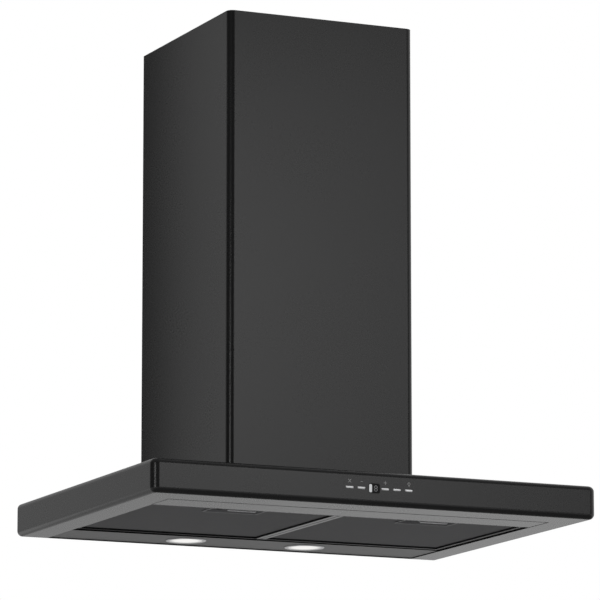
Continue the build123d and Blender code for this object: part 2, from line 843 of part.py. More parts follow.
with BuildPart() as chimney_upper_cover:
    with BuildSketch(Plane.XY.offset(upper_cover_base)):
        add(
            cover_section(
                upper_inner_half + chimney_sheet,
                upper_front,
                upper_rear,
                upper_corner,
                chimney_sheet,
            )
        )
    extrude(amount=upper_cover_top - upper_cover_base)
    with BuildSketch(Plane.YZ.offset(-chimney_width / 2)):
        with Locations((bracket_screw_y, bracket_screw_z)):
            Circle(screw_radius + screw_gap)
    extrude(amount=chimney_width, mode=Mode.SUBTRACT)
chimney_upper_cover.part.label = "chimney_upper_cover"
export_step(chimney_upper_cover.part, "parts/chimney_upper_cover.step")

stop_x = chimney_width / 2 - chimney_sheet - stop_size[0] / 2
stop_z = upper_cover_base - body_gap - stop_size[2]

with BuildPart() as cover_stops:
    with BuildSketch(Plane.XY.offset(stop_z)):
        for y in (-stop_inset, stop_inset - chimney_depth):
            with Locations((-stop_x, y), (stop_x, y)):
                Rectangle(stop_size[0], stop_size[1])
    extrude(amount=stop_size[2])
    upper_faces = cover_stops.faces().filter_by(Axis.Z).group_by(Axis.Z)[0]
    inner_edges = [
        face.edges().filter_by(Axis.Y).sort_by(lambda edge: abs(edge.center().X))[0]
        for face in upper_faces
    ]
    chamfer(inner_edges, stop_chamfer)
cover_stops.part.label = "cover_stops"
export_step(cover_stops.part, "parts/cover_stops.step")

ear_x = upper_inner_half - bracket_sheet / 2
back_x = upper_inner_half - bracket_shoulder
back_y = -bracket_sheet / 2
jog_y = -bracket_jog - bracket_sheet / 2
arm_y = -bracket_jog - bracket_arm

with BuildPart() as ceiling_bracket:
    with BuildSketch(Plane.XY.offset(bracket_top - bracket_height)):
        with BuildLine():
            Polyline(
                (-ear_x, arm_y),
                (-ear_x, jog_y),
                (-back_x, jog_y),
                (-back_x, back_y),
                (back_x, back_y),
                (back_x, jog_y),
                (ear_x, jog_y),
                (ear_x, arm_y),
            )
        trace(line_width=bracket_sheet)
    extrude(amount=bracket_height)
    with BuildSketch(Plane.XZ):
        with GridLocations(bracket_slot_spacing, 1, 2, 1):
            with Locations((0, bracket_screw_z)):
                SlotOverall(bracket_slot_length, 2 * bracket_slot_radius)
    extrude(amount=bracket_sheet, mode=Mode.SUBTRACT)
    with BuildSketch(Plane.YZ.offset(-chimney_width / 2)):
        with Locations((bracket_screw_y, bracket_screw_z)):
            Circle(screw_radius + screw_gap)
    extrude(amount=chimney_width, mode=Mode.SUBTRACT)
ceiling_bracket.part.label = "ceiling_bracket"
export_step(ceiling_bracket.part, "parts/ceiling_bracket.step")

# Each screw's head stands inside, on the bracket's ear, clear of the lower cover.
ear_face = upper_inner_half - bracket_sheet
ear_screws = [
    pan_screws(
        Plane(
            origin=(direction * ear_face, 0, 0),
            x_dir=(0, -direction, 0),
            z_dir=(-direction, 0, 0),
        ),
        [(-direction * bracket_screw_y, bracket_screw_z)],
        bracket_sheet + chimney_sheet,
    )
    for direction in sides.values()
]

with BuildPart() as bracket_screws:
    for ear_screw in ear_screws:
        add(ear_screw)
bracket_screws.part.label = "bracket_screws"
export_step(bracket_screws.part, "parts/bracket_screws.step")

foot_top = Plane.XY.offset(canopy_height + chimney_sheet)
foot_screws = pan_screws(foot_top, cover_screw_places, screw_length)

with BuildPart() as cover_screws:
    add(foot_screws)
cover_screws.part.label = "cover_screws"
export_step(cover_screws.part, "parts/cover_screws.step")

# ---------------------------------------------------------------- blower casing

casing_inner_half = casing_half - casing_sheet

with BuildPart() as blower_casing:
    with BuildSketch(Plane.XY.offset(canopy_height)):
        with Locations((0, casing_middle)):
            Rectangle(2 * casing_half, casing_depth)
    extrude(amount=casing_height)
    with BuildSketch(Plane.XY.offset(canopy_height + casing_sheet)):
        with Locations((0, casing_middle)):
            Rectangle(2 * casing_inner_half, casing_depth - 2 * casing_sheet)
    extrude(amount=casing_height - 2 * casing_sheet, mode=Mode.SUBTRACT)
    with BuildSketch(Plane.XY.offset(canopy_height)):
        with Locations((0, casing_middle)):
            Rectangle(2 * (casing_half - casing_foot), casing_depth - 2 * casing_foot)
        with Locations(*casing_screw_places):
            Circle(screw_radius + screw_gap)
    extrude(amount=casing_sheet, mode=Mode.SUBTRACT)
    with BuildSketch(Plane.XY.offset(casing_top)):
        with Locations((0, collar_y)):
            Circle(collar_inner_radius)
            with round_the_collar():
                Circle(screw_radius + screw_gap)
    extrude(amount=-casing_sheet, mode=Mode.SUBTRACT)
blower_casing.part.label = "blower_casing"
export_step(blower_casing.part, "parts/blower_casing.step")

# These screws come up from the canopy, with their heads under its top sheet.
under_top = Plane(
    origin=(0, 0, canopy_height - canopy_sheet), x_dir=(1, 0, 0), z_dir=(0, 0, -1)
)
rising_screws = pan_screws(under_top, [(x, -y) for x, y in casing_screw_places], screw_length)

with BuildPart() as casing_screws:
    add(rising_screws)
casing_screws.part.label = "casing_screws"
export_step(casing_screws.part, "parts/casing_screws.step")

# ---------------------------------------------------------------- scroll, wheel and motor

wheel_plane = Plane(origin=(0, wheel_y, wheel_z), x_dir=(0, 1, 0), z_dir=(1, 0, 0))

for side, sign in sides.items():
    with BuildPart() as scroll:
        with BuildSketch(wheel_plane):
            add(scroll_outline(0))
        extrude(amount=sign * scroll_half_width)
        with BuildSketch(wheel_plane):
            add(scroll_outline(-scroll_wall))
            with Locations(
                ((scroll_reach_back - scroll_mouth_depth / 2), scroll_mouth_rise - scroll_wall)
            ):
                Rectangle(scroll_mouth_depth - 2 * scroll_wall, 4 * scroll_wall)
        extrude(amount=sign * (scroll_half_width - scroll_wall), mode=Mode.SUBTRACT)
        with BuildSketch(wheel_plane):
            Circle(inlet_radius)
        extrude(amount=sign * scroll_half_width, mode=Mode.SUBTRACT)
    scroll.part.label = f"scroll_{side}"
    export_step(scroll.part, f"parts/scroll_{side}.step")

    ring_face = wheel_plane.offset(sign * scroll_half_width)
    with BuildPart() as inlet_ring:
        with BuildSketch(ring_face):
            Circle(inlet_radius + inlet_ring_width)
            Circle(inlet_radius - inlet_ring_lip, mode=Mode.SUBTRACT)
        extrude(amount=sign * inlet_ring_depth)
        mouth_rim = inlet_ring.edges().filter_by(GeomType.CIRCLE).sort_by(SortBy.RADIUS)
        inner_rims = mouth_rim[:2].sort_by(Axis.X)
        fillet(inner_rims[-1 if sign > 0 else 0], inlet_flare)
    inlet_ring.part.label = f"inlet_ring_{side}"
    export_step(inlet_ring.part, f"parts/inlet_ring_{side}.step")

arm_face_x = -(scroll_half_width + inlet_ring_depth)
with BuildPart() as motor_bracket:
    with BuildSketch(wheel_plane.offset(arm_face_x)):
        with PolarLocations((inlet_radius + inlet_ring_width) / 2, arm_count):
            Rectangle(inlet_radius + inlet_ring_width, arm_width)
        Circle(arm_hub_radius)
    extrude(amount=-arm_thickness)
    with BuildSketch(wheel_plane.offset(arm_face_x)):
        Circle(shaft_radius + screw_gap)
    extrude(amount=-arm_thickness, mode=Mode.SUBTRACT)
motor_bracket.part.label = "motor_bracket"
export_step(motor_bracket.part, "parts/motor_bracket.step")

motor_end_x = -motor_from_centre
motor_start_x = arm_face_x + motor_boss_length
with BuildPart() as motor_body:
    with BuildSketch(wheel_plane.offset(motor_start_x)):
        Circle(motor_radius)
    extrude(amount=motor_end_x - motor_start_x)
    fillet(motor_body.edges().filter_by(GeomType.CIRCLE), motor_edge_radius)
    with BuildSketch(wheel_plane.offset(motor_start_x)):
        Circle(motor_boss_radius)
    extrude(amount=arm_face_x - motor_start_x)
    with BuildSketch(wheel_plane.offset(arm_face_x)):
        Circle(shaft_radius + shaft_gap)
    extrude(amount=motor_end_x - arm_face_x, mode=Mode.SUBTRACT)
motor_body.part.label = "motor_body"
export_step(motor_body.part, "parts/motor_body.step")

shaft_start_x = arm_face_x + 2 * body_gap
shaft_end_x = wheel_hub_length + wheel_disc
with BuildPart() as motor_shaft:
    with BuildSketch(wheel_plane.offset(shaft_start_x)):
        Circle(shaft_radius)
    extrude(amount=shaft_end_x - shaft_start_x)
    chamfer(motor_shaft.edges().filter_by(GeomType.CIRCLE), shaft_chamfer)
motor_shaft.part.label = "motor_shaft"
export_step(motor_shaft.part, "parts/motor_shaft.step")

with BuildPart() as impeller:
    with BuildSketch(wheel_plane.offset(-wheel_disc / 2)):
        Circle(wheel_radius)
    extrude(amount=wheel_disc)
    with BuildSketch(wheel_plane):
        Circle(wheel_hub_radius)
    extrude(amount=wheel_hub_length)
    with BuildSketch(wheel_plane.offset(-wheel_half_width)):
        with PolarLocations(wheel_radius - blade_depth / 2, blade_count):
            Rectangle(blade_depth, blade_thickness, rotation=blade_lean)
    extrude(amount=2 * wheel_half_width)
    for ring_x in (-wheel_half_width, wheel_half_width - wheel_ring_width):
        with BuildSketch(wheel_plane.offset(ring_x)):
            Circle(wheel_radius)
            Circle(wheel_radius - wheel_ring_depth, mode=Mode.SUBTRACT)
        extrude(amount=wheel_ring_width)
    with BuildSketch(wheel_plane.offset(-wheel_disc / 2)):
        Circle(shaft_radius)
    extrude(amount=wheel_disc / 2 + wheel_hub_length, mode=Mode.SUBTRACT)
impeller.part.label = "impeller"
export_step(impeller.part, "parts/impeller.step")

# ---------------------------------------------------------------- outlet

gasket_base = casing_top - casing_sheet - gasket_thickness
transition_inner_radius = collar_inner_radius - scroll_wall

with BuildPart() as outlet_transition:
    with BuildSketch(Plane.XY.offset(mouth_z + transition_gap)):
        with Locations((0, mouth_middle)):
            Rectangle(2 * scroll_half_width, scroll_mouth_depth)
    with BuildSketch(Plane.XY.offset(gasket_base)):
        with Locations((0, collar_y)):
            Circle(collar_inner_radius)
    loft()
    with BuildSketch(Plane.XY.offset(gasket_base)):
        with Locations((0, collar_y)):
            Circle(collar_radius + collar_flange)
            with round_the_collar():
                Circle(screw_radius + screw_gap, mode=Mode.SUBTRACT)
    extrude(amount=-scroll_wall)
    with BuildSketch(Plane.XY.offset(mouth_z + transition_gap)):
        with Locations((0, mouth_middle)):
            Rectangle(
                2 * scroll_half_width - 2 * scroll_wall, scroll_mouth_depth - 2 * scroll_wall
            )
    with BuildSketch(Plane.XY.offset(gasket_base)):
        with Locations((0, collar_y)):
            Circle(transition_inner_radius)
    loft(mode=Mode.SUBTRACT)
outlet_transition.part.label = "outlet_transition"
export_step(outlet_transition.part, "parts/outlet_transition.step")

with BuildPart() as outlet_gasket:
    with BuildSketch(Plane.XY.offset(gasket_base)):
        with Locations((0, collar_y)):
            Circle(collar_radius + collar_flange)
            Circle(collar_inner_radius, mode=Mode.SUBTRACT)
            with round_the_collar():
                Circle(screw_radius + screw_gap, mode=Mode.SUBTRACT)
    extrude(amount=gasket_thickness)
outlet_gasket.part.label = "outlet_gasket"
export_step(outlet_gasket.part, "parts/outlet_gasket.step")

with BuildPart() as outlet_collar:
    with BuildSketch(Plane.XY.offset(collar_base)):
        with Locations((0, collar_y)):
            Circle(collar_radius + collar_flange)
            with round_the_collar():
                Circle(screw_radius + screw_gap, mode=Mode.SUBTRACT)
    extrude(amount=collar_flange_thickness)
    with BuildSketch(Plane.XY.offset(collar_base)):
        with Locations((0, collar_y)):
            Circle(collar_radius)
    extrude(amount=collar_height)
    top_rim = outlet_collar.edges().filter_by(GeomType.CIRCLE).group_by(Axis.Z)[-1]
    chamfer(top_rim, collar_chamfer)
    with BuildSketch(Plane.XY.offset(collar_base)):
        with Locations((0, collar_y)):
            Circle(collar_inner_radius)
    extrude(amount=collar_height, mode=Mode.SUBTRACT)
    with BuildSketch(Plane.XY.offset(flap_z - flap_seat - flap_ledge)):
        with Locations((0, collar_y)):
            Circle(collar_inner_radius)
            Circle(collar_inner_radius - flap_ledge, mode=Mode.SUBTRACT)
    extrude(amount=flap_ledge)
    with BuildSketch(Plane.YZ.offset(-(collar_radius + collar_wall))):
        with Locations((collar_y, flap_z)):
            Circle(flap_pin_radius)
    extrude(amount=2 * (collar_radius + collar_wall), mode=Mode.SUBTRACT)
outlet_collar.part.label = "outlet_collar"
export_step(outlet_collar.part, "parts/outlet_collar.step")

collar_screw_places = [
    (spot.position.X, spot.position.Y + collar_y) for spot in round_the_collar().locations
]
flange_top = Plane.XY.offset(collar_base + collar_flange_thickness)
flange_screws = pan_screws(flange_top, collar_screw_places, collar_screw_length)

with BuildPart() as collar_screws:
    add(flange_screws)
collar_screws.part.label = "collar_screws"
export_step(collar_screws.part, "parts/collar_screws.step")

flap_pin_half = collar_radius - body_gap
with BuildPart() as flap_pin:
    with BuildSketch(Plane.YZ.offset(-flap_pin_half)):
        with Locations((collar_y, flap_z)):
            Circle(flap_pin_radius)
    extrude(amount=2 * flap_pin_half)
flap_pin.part.label = "flap_pin"
export_step(flap_pin.part, "parts/flap_pin.step")

# Two half-round flaps share the pin, each with eyes at its own stations along it.
flap_radius = collar_inner_radius - swing_gap
flap_low = flap_z - flap_thickness / 2
eye_pitch = flap_radius / 4
eye_half = eye_pitch / 2 - body_gap
flap_eyes = {"front": (-3, -1, 1), "rear": (-2, 0, 2)}
flap_signs = {"front": -1, "rear": 1}
for flap_name, direction in flap_signs.items():
    with BuildPart() as flap:
        with BuildSketch(Plane.XY.offset(flap_low)):
            with Locations((0, collar_y)):
                Circle(flap_radius)
            with Locations((0, collar_y - direction * (flap_radius - flap_eye_radius - body_gap))):
                Rectangle(2 * flap_radius, 2 * flap_radius, mode=Mode.SUBTRACT)
            for station in flap_eyes[flap_name]:
                with Locations((station * eye_pitch, collar_y + direction * flap_eye_radius)):
                    Rectangle(2 * eye_half, 2 * flap_eye_radius)
        extrude(amount=flap_thickness)
        for station in flap_eyes[flap_name]:
            eye_plane = Plane.YZ.offset(station * eye_pitch - eye_half)
            with BuildSketch(eye_plane):
                with Locations((collar_y, flap_z)):
                    Circle(flap_eye_radius)
            extrude(amount=2 * eye_half)
        with BuildSketch(Plane.YZ.offset(-flap_radius)):
            with Locations((collar_y, flap_z)):
                Circle(flap_pin_radius + shaft_gap)
        extrude(amount=2 * flap_radius, mode=Mode.SUBTRACT)
    flap.part.label = f"flap_{flap_name}"
    export_step(flap.part, f"parts/flap_{flap_name}.step")

# ---------------------------------------------------------------- electronics

case_back = casing_front
case_front = case_back - case_depth
case_top = casing_top - case_drop
case_middle_z = case_top - case_height / 2
case_back_plane = Plane.XZ.offset(-case_back)
gland_y = case_back - case_depth / 2

with BuildPart() as electronics_case:
    with BuildSketch(case_back_plane):
        with Locations((0, case_middle_z)):
            RectangleRounded(case_width, case_height, 2 * case_wall)
    extrude(amount=case_depth)
    with BuildSketch(case_back_plane.offset(case_wall)):
        with Locations((0, case_middle_z)):
            RectangleRounded(case_width - 2 * case_wall, case_height - 2 * case_wall, case_wall)
    extrude(amount=case_depth - case_wall, mode=Mode.SUBTRACT)
    with BuildSketch(Plane.XY.offset(case_top)):
        with Locations((gland_offset, gland_y)):
            Circle(gland_radius)
    extrude(amount=-case_wall, mode=Mode.SUBTRACT)
electronics_case.part.label = "electronics_case"
export_step(electronics_case.part, "parts/electronics_case.step")

with BuildPart() as electronics_lid:
    with BuildSketch(Plane.XZ.offset(-case_front)):
        with Locations((0, case_middle_z)):
            RectangleRounded(case_width, case_height, 2 * case_wall)
    extrude(amount=lid_thickness)
    fillet(electronics_lid.faces().sort_by(Axis.Y)[0].edges(), lid_edge_radius)
electronics_lid.part.label = "electronics_lid"
export_step(electronics_lid.part, "parts/electronics_lid.step")

with BuildPart() as run_capacitor:
    with BuildSketch(Plane.XY.offset(case_middle_z - capacitor_length / 2)):
        with Locations((-capacitor_offset, gland_y)):
            Circle(capacitor_radius)
    extrude(amount=capacitor_length)
    fillet(run_capacitor.edges().filter_by(GeomType.CIRCLE), capacitor_edge_radius)
run_capacitor.part.label = "run_capacitor"
export_step(run_capacitor.part, "parts/run_capacitor.step")

with BuildPart() as cable_gland:
    with BuildSketch(Plane.XY.offset(case_top - case_wall)):
        with Locations((gland_offset, gland_y)):
            Circle(gland_radius)
    extrude(amount=case_wall)
    with BuildSketch(Plane.XY.offset(case_top)):
        with Locations((gland_offset, gland_y)):
            RegularPolygon(gland_nut_radius, 6)
    extrude(amount=gland_nut_height)
    with BuildSketch(Plane.XY.offset(case_top + gland_nut_height)):
        with Locations((gland_offset, gland_y)):
            Circle(gland_radius)
    extrude(amount=gland_length - gland_nut_height - case_wall)
    dome = cable_gland.faces().sort_by(Axis.Z)[-1].edges()
    fillet(dome, gland_edge_radius)
    with BuildSketch(Plane.XY.offset(case_top - case_wall)):
        with Locations((gland_offset, gland_y)):
            Circle(gland_bore_radius)
    extrude(amount=gland_length, mode=Mode.SUBTRACT)
cable_gland.part.label = "cable_gland"
export_step(cable_gland.part, "parts/cable_gland.step")

# ---------------------------------------------------------------- mounting frame and hooks

frame_height = frame_top - canopy_height
window_centre = window_top - window_height / 2
frame_plane = Plane.XZ.offset(-frame_front)
window_width = hook_width + 2 * swing_gap

with BuildPart() as mounting_frame:
    with BuildSketch(Plane.XY.offset(canopy_height)):
        with Locations((0, frame_front / 2)):
            Rectangle(frame_width, -frame_front)
        with Locations((0, (frame_front + frame_sheet) / 2)):
            Rectangle(frame_width - 2 * frame_sheet, frame_stand_off, mode=Mode.SUBTRACT)
    extrude(amount=frame_height)
    with BuildSketch(frame_plane):
        with Locations((-hook_spacing / 2, window_centre), (hook_spacing / 2, window_centre)):
            Rectangle(window_width, window_height)
    extrude(amount=-frame_sheet, mode=Mode.SUBTRACT)
mounting_frame.part.label = "mounting_frame"
export_step(mounting_frame.part, "parts/mounting_frame.step")

hook_arm_top = window_top
hook_lip_back = frame_front - hook_lip_gap
hook_lip_front = hook_lip_back - hook_sheet
hook_plate_top = hook_arm_top + hook_plate_above
hook_plate_low = hook_arm_top - hook_plate_below
hook_screw_places = [
    (sign * hook_spacing / 2, hook_arm_top + hook_screw_first + step * hook_screw_pitch)
    for sign in sides.values()
    for step in (0, 1)
]
levelling_z = hook_arm_top + hook_lip / 2

with BuildPart() as wall_hooks:
    for sign in sides.values():
        with BuildSketch(Plane.YZ.offset(sign * hook_spacing / 2 - hook_width / 2)):
            with BuildLine():
                Polyline(
                    (0, hook_plate_low),
                    (0, hook_plate_top),
                    (-hook_sheet, hook_plate_top),
                    (-hook_sheet, hook_arm_top),
                    (hook_lip_back, hook_arm_top),
                    (hook_lip_back, hook_arm_top + hook_lip),
                    (hook_lip_front, hook_arm_top + hook_lip),
                    (hook_lip_front, hook_arm_top - hook_sheet),
                    (-hook_sheet, hook_arm_top - hook_sheet),
                    (-hook_sheet, hook_plate_low),
                    close=True,
                )
            make_face()
        extrude(amount=hook_width)
    with BuildSketch(Plane.XZ):
        with Locations(*hook_screw_places):
            Circle(wall_screw_radius)
    extrude(amount=hook_sheet, mode=Mode.SUBTRACT)
    with BuildSketch(Plane.XZ.offset(-hook_lip_back)):
        with Locations(*[(sign * hook_spacing / 2, levelling_z) for sign in sides.values()]):
            Circle(levelling_radius)
    extrude(amount=hook_sheet, mode=Mode.SUBTRACT)
wall_hooks.part.label = "wall_hooks"
export_step(wall_hooks.part, "parts/wall_hooks.step")

with BuildPart() as levelling_screws:
    tip_plane = Plane.XZ.offset(-frame_front)
    places = [(sign * hook_spacing / 2, levelling_z) for sign in sides.values()]
    with BuildSketch(tip_plane):
        with Locations(*places):
            Circle(levelling_radius)
    extrude(amount=levelling_length)
    with BuildSketch(tip_plane.offset(levelling_length)):
        with Locations(*places):
            RegularPolygon(2 * levelling_radius, 6)
    extrude(amount=screw_head_height)
levelling_screws.part.label = "levelling_screws"
export_step(levelling_screws.part, "parts/levelling_screws.step")
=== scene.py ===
import logging
import math
from contextlib import contextmanager
from dataclasses import dataclass
from enum import Enum
from typing import Callable, ClassVar, Iterator

import bmesh
import bpy
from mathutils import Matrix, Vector


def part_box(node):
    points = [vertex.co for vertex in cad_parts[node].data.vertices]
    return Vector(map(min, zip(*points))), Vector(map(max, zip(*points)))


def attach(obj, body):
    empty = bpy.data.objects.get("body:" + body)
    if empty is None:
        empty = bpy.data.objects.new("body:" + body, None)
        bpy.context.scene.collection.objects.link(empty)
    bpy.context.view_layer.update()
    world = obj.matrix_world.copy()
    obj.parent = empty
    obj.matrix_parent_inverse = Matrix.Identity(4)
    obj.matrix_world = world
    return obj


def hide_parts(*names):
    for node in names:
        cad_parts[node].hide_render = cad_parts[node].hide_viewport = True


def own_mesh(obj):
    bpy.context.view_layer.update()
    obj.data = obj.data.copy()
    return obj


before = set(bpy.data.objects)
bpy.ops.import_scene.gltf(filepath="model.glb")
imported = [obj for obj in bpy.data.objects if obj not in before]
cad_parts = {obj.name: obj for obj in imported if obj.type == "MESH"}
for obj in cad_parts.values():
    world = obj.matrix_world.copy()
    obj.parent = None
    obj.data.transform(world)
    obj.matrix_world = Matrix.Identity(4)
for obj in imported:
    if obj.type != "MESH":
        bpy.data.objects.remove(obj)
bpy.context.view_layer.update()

MM = 0.001
SHEET = 1.0 * MM
FINE_EDGE = 0.12 * MM
SAME_PLACE = 0.01 * MM
SMOOTH_ANGLE = 32.0
EASE_ANGLE = 50.0
EASE_FLATS = 2
NORMAL_WEIGHT = 60
STRAIGHT = 0.99
TAB_SPACING = 150.0 * MM
HOLE_SIDES = 24
LAMP_SIDES = 128
SIDES = ("left", "right")
WHITE = (1.0, 1.0, 1.0, 1.0)
BRUSH_STRETCH = (0.03, 1.0, 1.0)

Piece = bpy.types.Object
Material = bpy.types.Material
Node = bpy.types.Node
NodeTree = bpy.types.NodeTree
Socket = bpy.types.NodeSocket
Pair = tuple[float, float]
Triple = tuple[float, float, float]
Place = Vector | Triple
Test = Callable[[Vector, Vector], bool]
Feeds = dict[str | int, Socket | float | tuple]

log = logging.getLogger("range_hood")


# ---------------------------------------------------------------- modelling by operators


class Axis(Enum):
    """The axis that a piece lies along, with the turn that lays a primitive's Z on it."""

    X = (0.0, math.pi / 2, 0.0)
    Y = (math.pi / 2, 0.0, 0.0)
    Z = (0.0, 0.0, 0.0)


class Element(Enum):
    """What is picked in edit mode, with the mesh's own name for its list of them."""

    EDGE = "edges"
    FACE = "faces"


def take_up(*pieces: Piece) -> None:
    """Selects only these pieces and makes the first one active.

    Args:
        pieces: the pieces that the next operator acts on.
    """
    for thing in bpy.context.selected_objects:
        thing.select_set(False)
    for piece in pieces:
        piece.select_set(True)
    bpy.context.view_layer.objects.active = pieces[0] if pieces else None


def settle(piece: Piece) -> Piece:
    """Moves a piece's place, turn and scale into its mesh, with its object at the origin.

    Args:
        piece: the piece to settle.

    Returns:
        The same piece.
    """
    take_up(piece)
    bpy.ops.object.transform_apply(location=True, rotation=True, scale=True)
    return piece


def start_bar(centre: Place, size: Place, turn: Triple = Axis.Z.value, name: str = "bar") -> Piece:
    """Starts a piece from a cube primitive.

    Args:
        centre: its centre, in metres.
        size: its three lengths before it is turned.
        turn: its turn about the three axes, in radians.
        name: the piece's name.

    Returns:
        The settled bar.
    """
    take_up()
    bpy.ops.mesh.primitive_cube_add(size=1, location=centre, rotation=turn)
    piece = bpy.context.active_object
    piece.name = name
    piece.scale = size
    return settle(piece)


def start_block(low: Place, high: Place, name: str = "block") -> Piece:
    """Starts a piece that fills the space between its lowest and its highest corner."""
    low, high = Vector(low), Vector(high)
    return start_bar((low + high) / 2, high - low, name=name)


def about(middle: float, width: float) -> Pair:
    """The two ends of a width about its middle."""
    return middle - width / 2, middle + width / 2


def start_span(x: Pair, y: Pair, z: Pair, name: str = "span") -> Piece:
    """Starts a block from its two ends along each axis."""
    low, high = zip(x, y, z)
    return start_block(low, high, name)


def start_round(
    centre: Vector,
    radius: float,
    depth: float,
    axis: Axis = Axis.Z,
    sides: int = LAMP_SIDES,
    name: str = "round",
) -> Piece:
    """Starts a piece from a cylinder primitive.

    Args:
        centre: the cylinder's centre, in metres.
        radius: its radius.
        depth: its length along the axis.
        axis: the axis that it lies along.
        sides: how many sides it has.
        name: the piece's name.

    Returns:
        The settled cylinder.
    """
    take_up()
    bpy.ops.mesh.primitive_cylinder_add(
        vertices=sides, radius=radius, depth=depth, location=centre, rotation=axis.value
    )
    piece = bpy.context.active_object
    piece.name = name
    return settle(piece)


@contextmanager
def picked(piece: Piece, element: Element, test: Test) -> Iterator[None]:
    """Holds a piece in edit mode, with the edges or faces selected that pass a test.

    Args:
        piece: the piece to edit.
        element: whether edges or faces are tested.
        test: takes an edge's middle and direction, or a face's centre and normal.
    """
    take_up(piece)
    bpy.ops.object.mode_set(mode="EDIT")
    bpy.ops.mesh.select_mode(type=element.name)
    bpy.ops.mesh.select_all(action="DESELECT")
    mesh = bmesh.from_edit_mesh(piece.data)
    for part in getattr(mesh, element.value):
        if element is Element.EDGE:
            start, end = (vertex.co for vertex in part.verts)
            part.select_set(test((start + end) / 2, (end - start).normalized()))
        else:
            part.select_set(test(part.calc_center_median(), part.normal))
    bmesh.update_edit_mesh(piece.data)
    yield
    bpy.ops.object.mode_set(mode="OBJECT")


def near(value: float, target: float) -> bool:
    """Whether two places are the same, to a hundredth of a millimetre."""
    return abs(value - target) < SAME_PLACE


def edges(along: Axis | None = None, **levels: float) -> Test:
    """Makes a test for edges that run one way and lie at given levels.

    Args:
        along: the axis that they run along, or none for any way.
        levels: the x, y or z that their middles share.

    Returns:
        The test, which takes an edge's middle and direction.
    """

    def test(middle: Vector, way: Vector) -> bool:
        """Whether one edge passes."""
        runs = along is None or abs(getattr(way, along.name.lower())) > STRAIGHT
        return runs and all(near(getattr(middle, axis), at) for axis, at in levels.items())

    return test


def round_edges(piece: Piece, radius: float, test: Test, flats: int = 4) -> None:
    """Rounds the edges that pass a test.

    Args:
        piece: the piece whose edges are rounded.
        radius: the rounding's radius.
        test: takes an edge's middle and direction.
        flats: how many flats make the rounding.
    """
    with picked(piece, Element.EDGE, test):
        bpy.ops.mesh.bevel(offset=radius, segments=flats, affect="EDGES", clamp_overlap=False)


def remove_faces(piece: Piece, test: Test) -> None:
    """Deletes the faces that pass a test of their centre and normal."""
    with picked(piece, Element.FACE, test):
        bpy.ops.mesh.delete(type="FACE")


def use_modifier(piece: Piece, kind: str, **settings: object) -> None:
    """Adds one modifier to a piece and applies it.

    Args:
        piece: the piece that takes the modifier.
        kind: Blender's name for the modifier's type.
        settings: the modifier's own settings, by name.
    """
    take_up(piece)
    modifier = piece.modifiers.new(kind.lower(), kind)
    for setting, value in settings.items():
        setattr(modifier, setting, value)
    bpy.ops.object.modifier_apply(modifier=modifier.name)


def thicken(piece: Piece, wall: float = SHEET) -> None:
    """Gives an open skin a wall that grows inwards."""
    use_modifier(piece, "SOLIDIFY", thickness=wall, offset=-1.0, use_even_offset=True)


def cut(piece: Piece, *cutters: Piece) -> None:
    """Cuts other shapes out of a piece and throws them away.

    Args:
        piece: the piece that is cut.
        cutters: the shapes that leave their space in it.
    """
    for cutter in cutters:
        use_modifier(piece, "BOOLEAN", operation="DIFFERENCE", solver="EXACT", object=cutter)
        bpy.data.objects.remove(cutter, do_unlink=True)


def weld(piece: Piece, *others: Piece) -> None:
    """Unites other shapes with a piece, as one closed skin.

    Args:
        piece: the piece that grows.
        others: the shapes that it takes in.
    """
    for other in others:
        use_modifier(piece, "BOOLEAN", operation="UNION", solver="EXACT", object=other)
        bpy.data.objects.remove(other, do_unlink=True)


def gather(piece: Piece, *others: Piece) -> None:
    """Joins other meshes to a piece, each as a closed skin of its own."""
    take_up(piece, *others)
    bpy.ops.object.join()


def ease_edges(piece: Piece, width: float = FINE_EDGE) -> None:
    """Breaks every sharp edge by a hair, as a folded or moulded edge is.

    Args:
        piece: the piece whose edges are broken.
        width: how wide the broken edge is.
    """
    use_modifier(
        piece,
        "BEVEL",
        width=width,
        segments=EASE_FLATS,
        limit_method="ANGLE",
        angle_limit=math.radians(EASE_ANGLE),
        use_clamp_overlap=True,
    )


def node_box(node: str) -> tuple[Vector, Vector]:
    """The lowest and highest corner of a CAD node at rest, in metres."""
    low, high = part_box(node)
    return Vector(low), Vector(high)


def node_centre(node: str) -> Vector:
    """The middle of a CAD node's box."""
    low, high = node_box(node)
    return (low + high) / 2


def tab_places(side: str) -> Pair:
    """The two places across where the rear tabs of one filter stand."""
    return about(node_centre(f"filter_frame_{side}").x, TAB_SPACING)


# ---------------------------------------------------------------- shader nodes


def feed(tree: NodeTree, node: Node, feeds: Feeds) -> None:
    """Gives a node's inputs an output or a constant each.

    Args:
        tree: the tree that the node is in.
        node: the node.
        feeds: what each input takes, by the input's name or number.
    """
    for label, value in feeds.items():
        if isinstance(value, Socket):
            tree.links.new(value, node.inputs[label])
        else:
            node.inputs[label].default_value = value


def add_node(tree: NodeTree, kind: str, feeds: Feeds | None = None, **options: object) -> Node:
    """Adds a node to a tree.

    Args:
        tree: the tree that it goes into.
        kind: Blender's name for its type.
        feeds: an output or a constant for each of its inputs.
        options: the node's own settings.

    Returns:
        The node.
    """
    node = tree.nodes.new(kind)
    for option, value in options.items():
        setattr(node, option, value)
    feed(tree, node, feeds or {})
    return node


def maths(tree: NodeTree, kind: str, first: Socket, second: Socket | float) -> Socket:
    """One step of arithmetic, under Blender's name for it."""
    return add_node(tree, "ShaderNodeMath", {0: first, 1: second}, operation=kind).outputs[0]


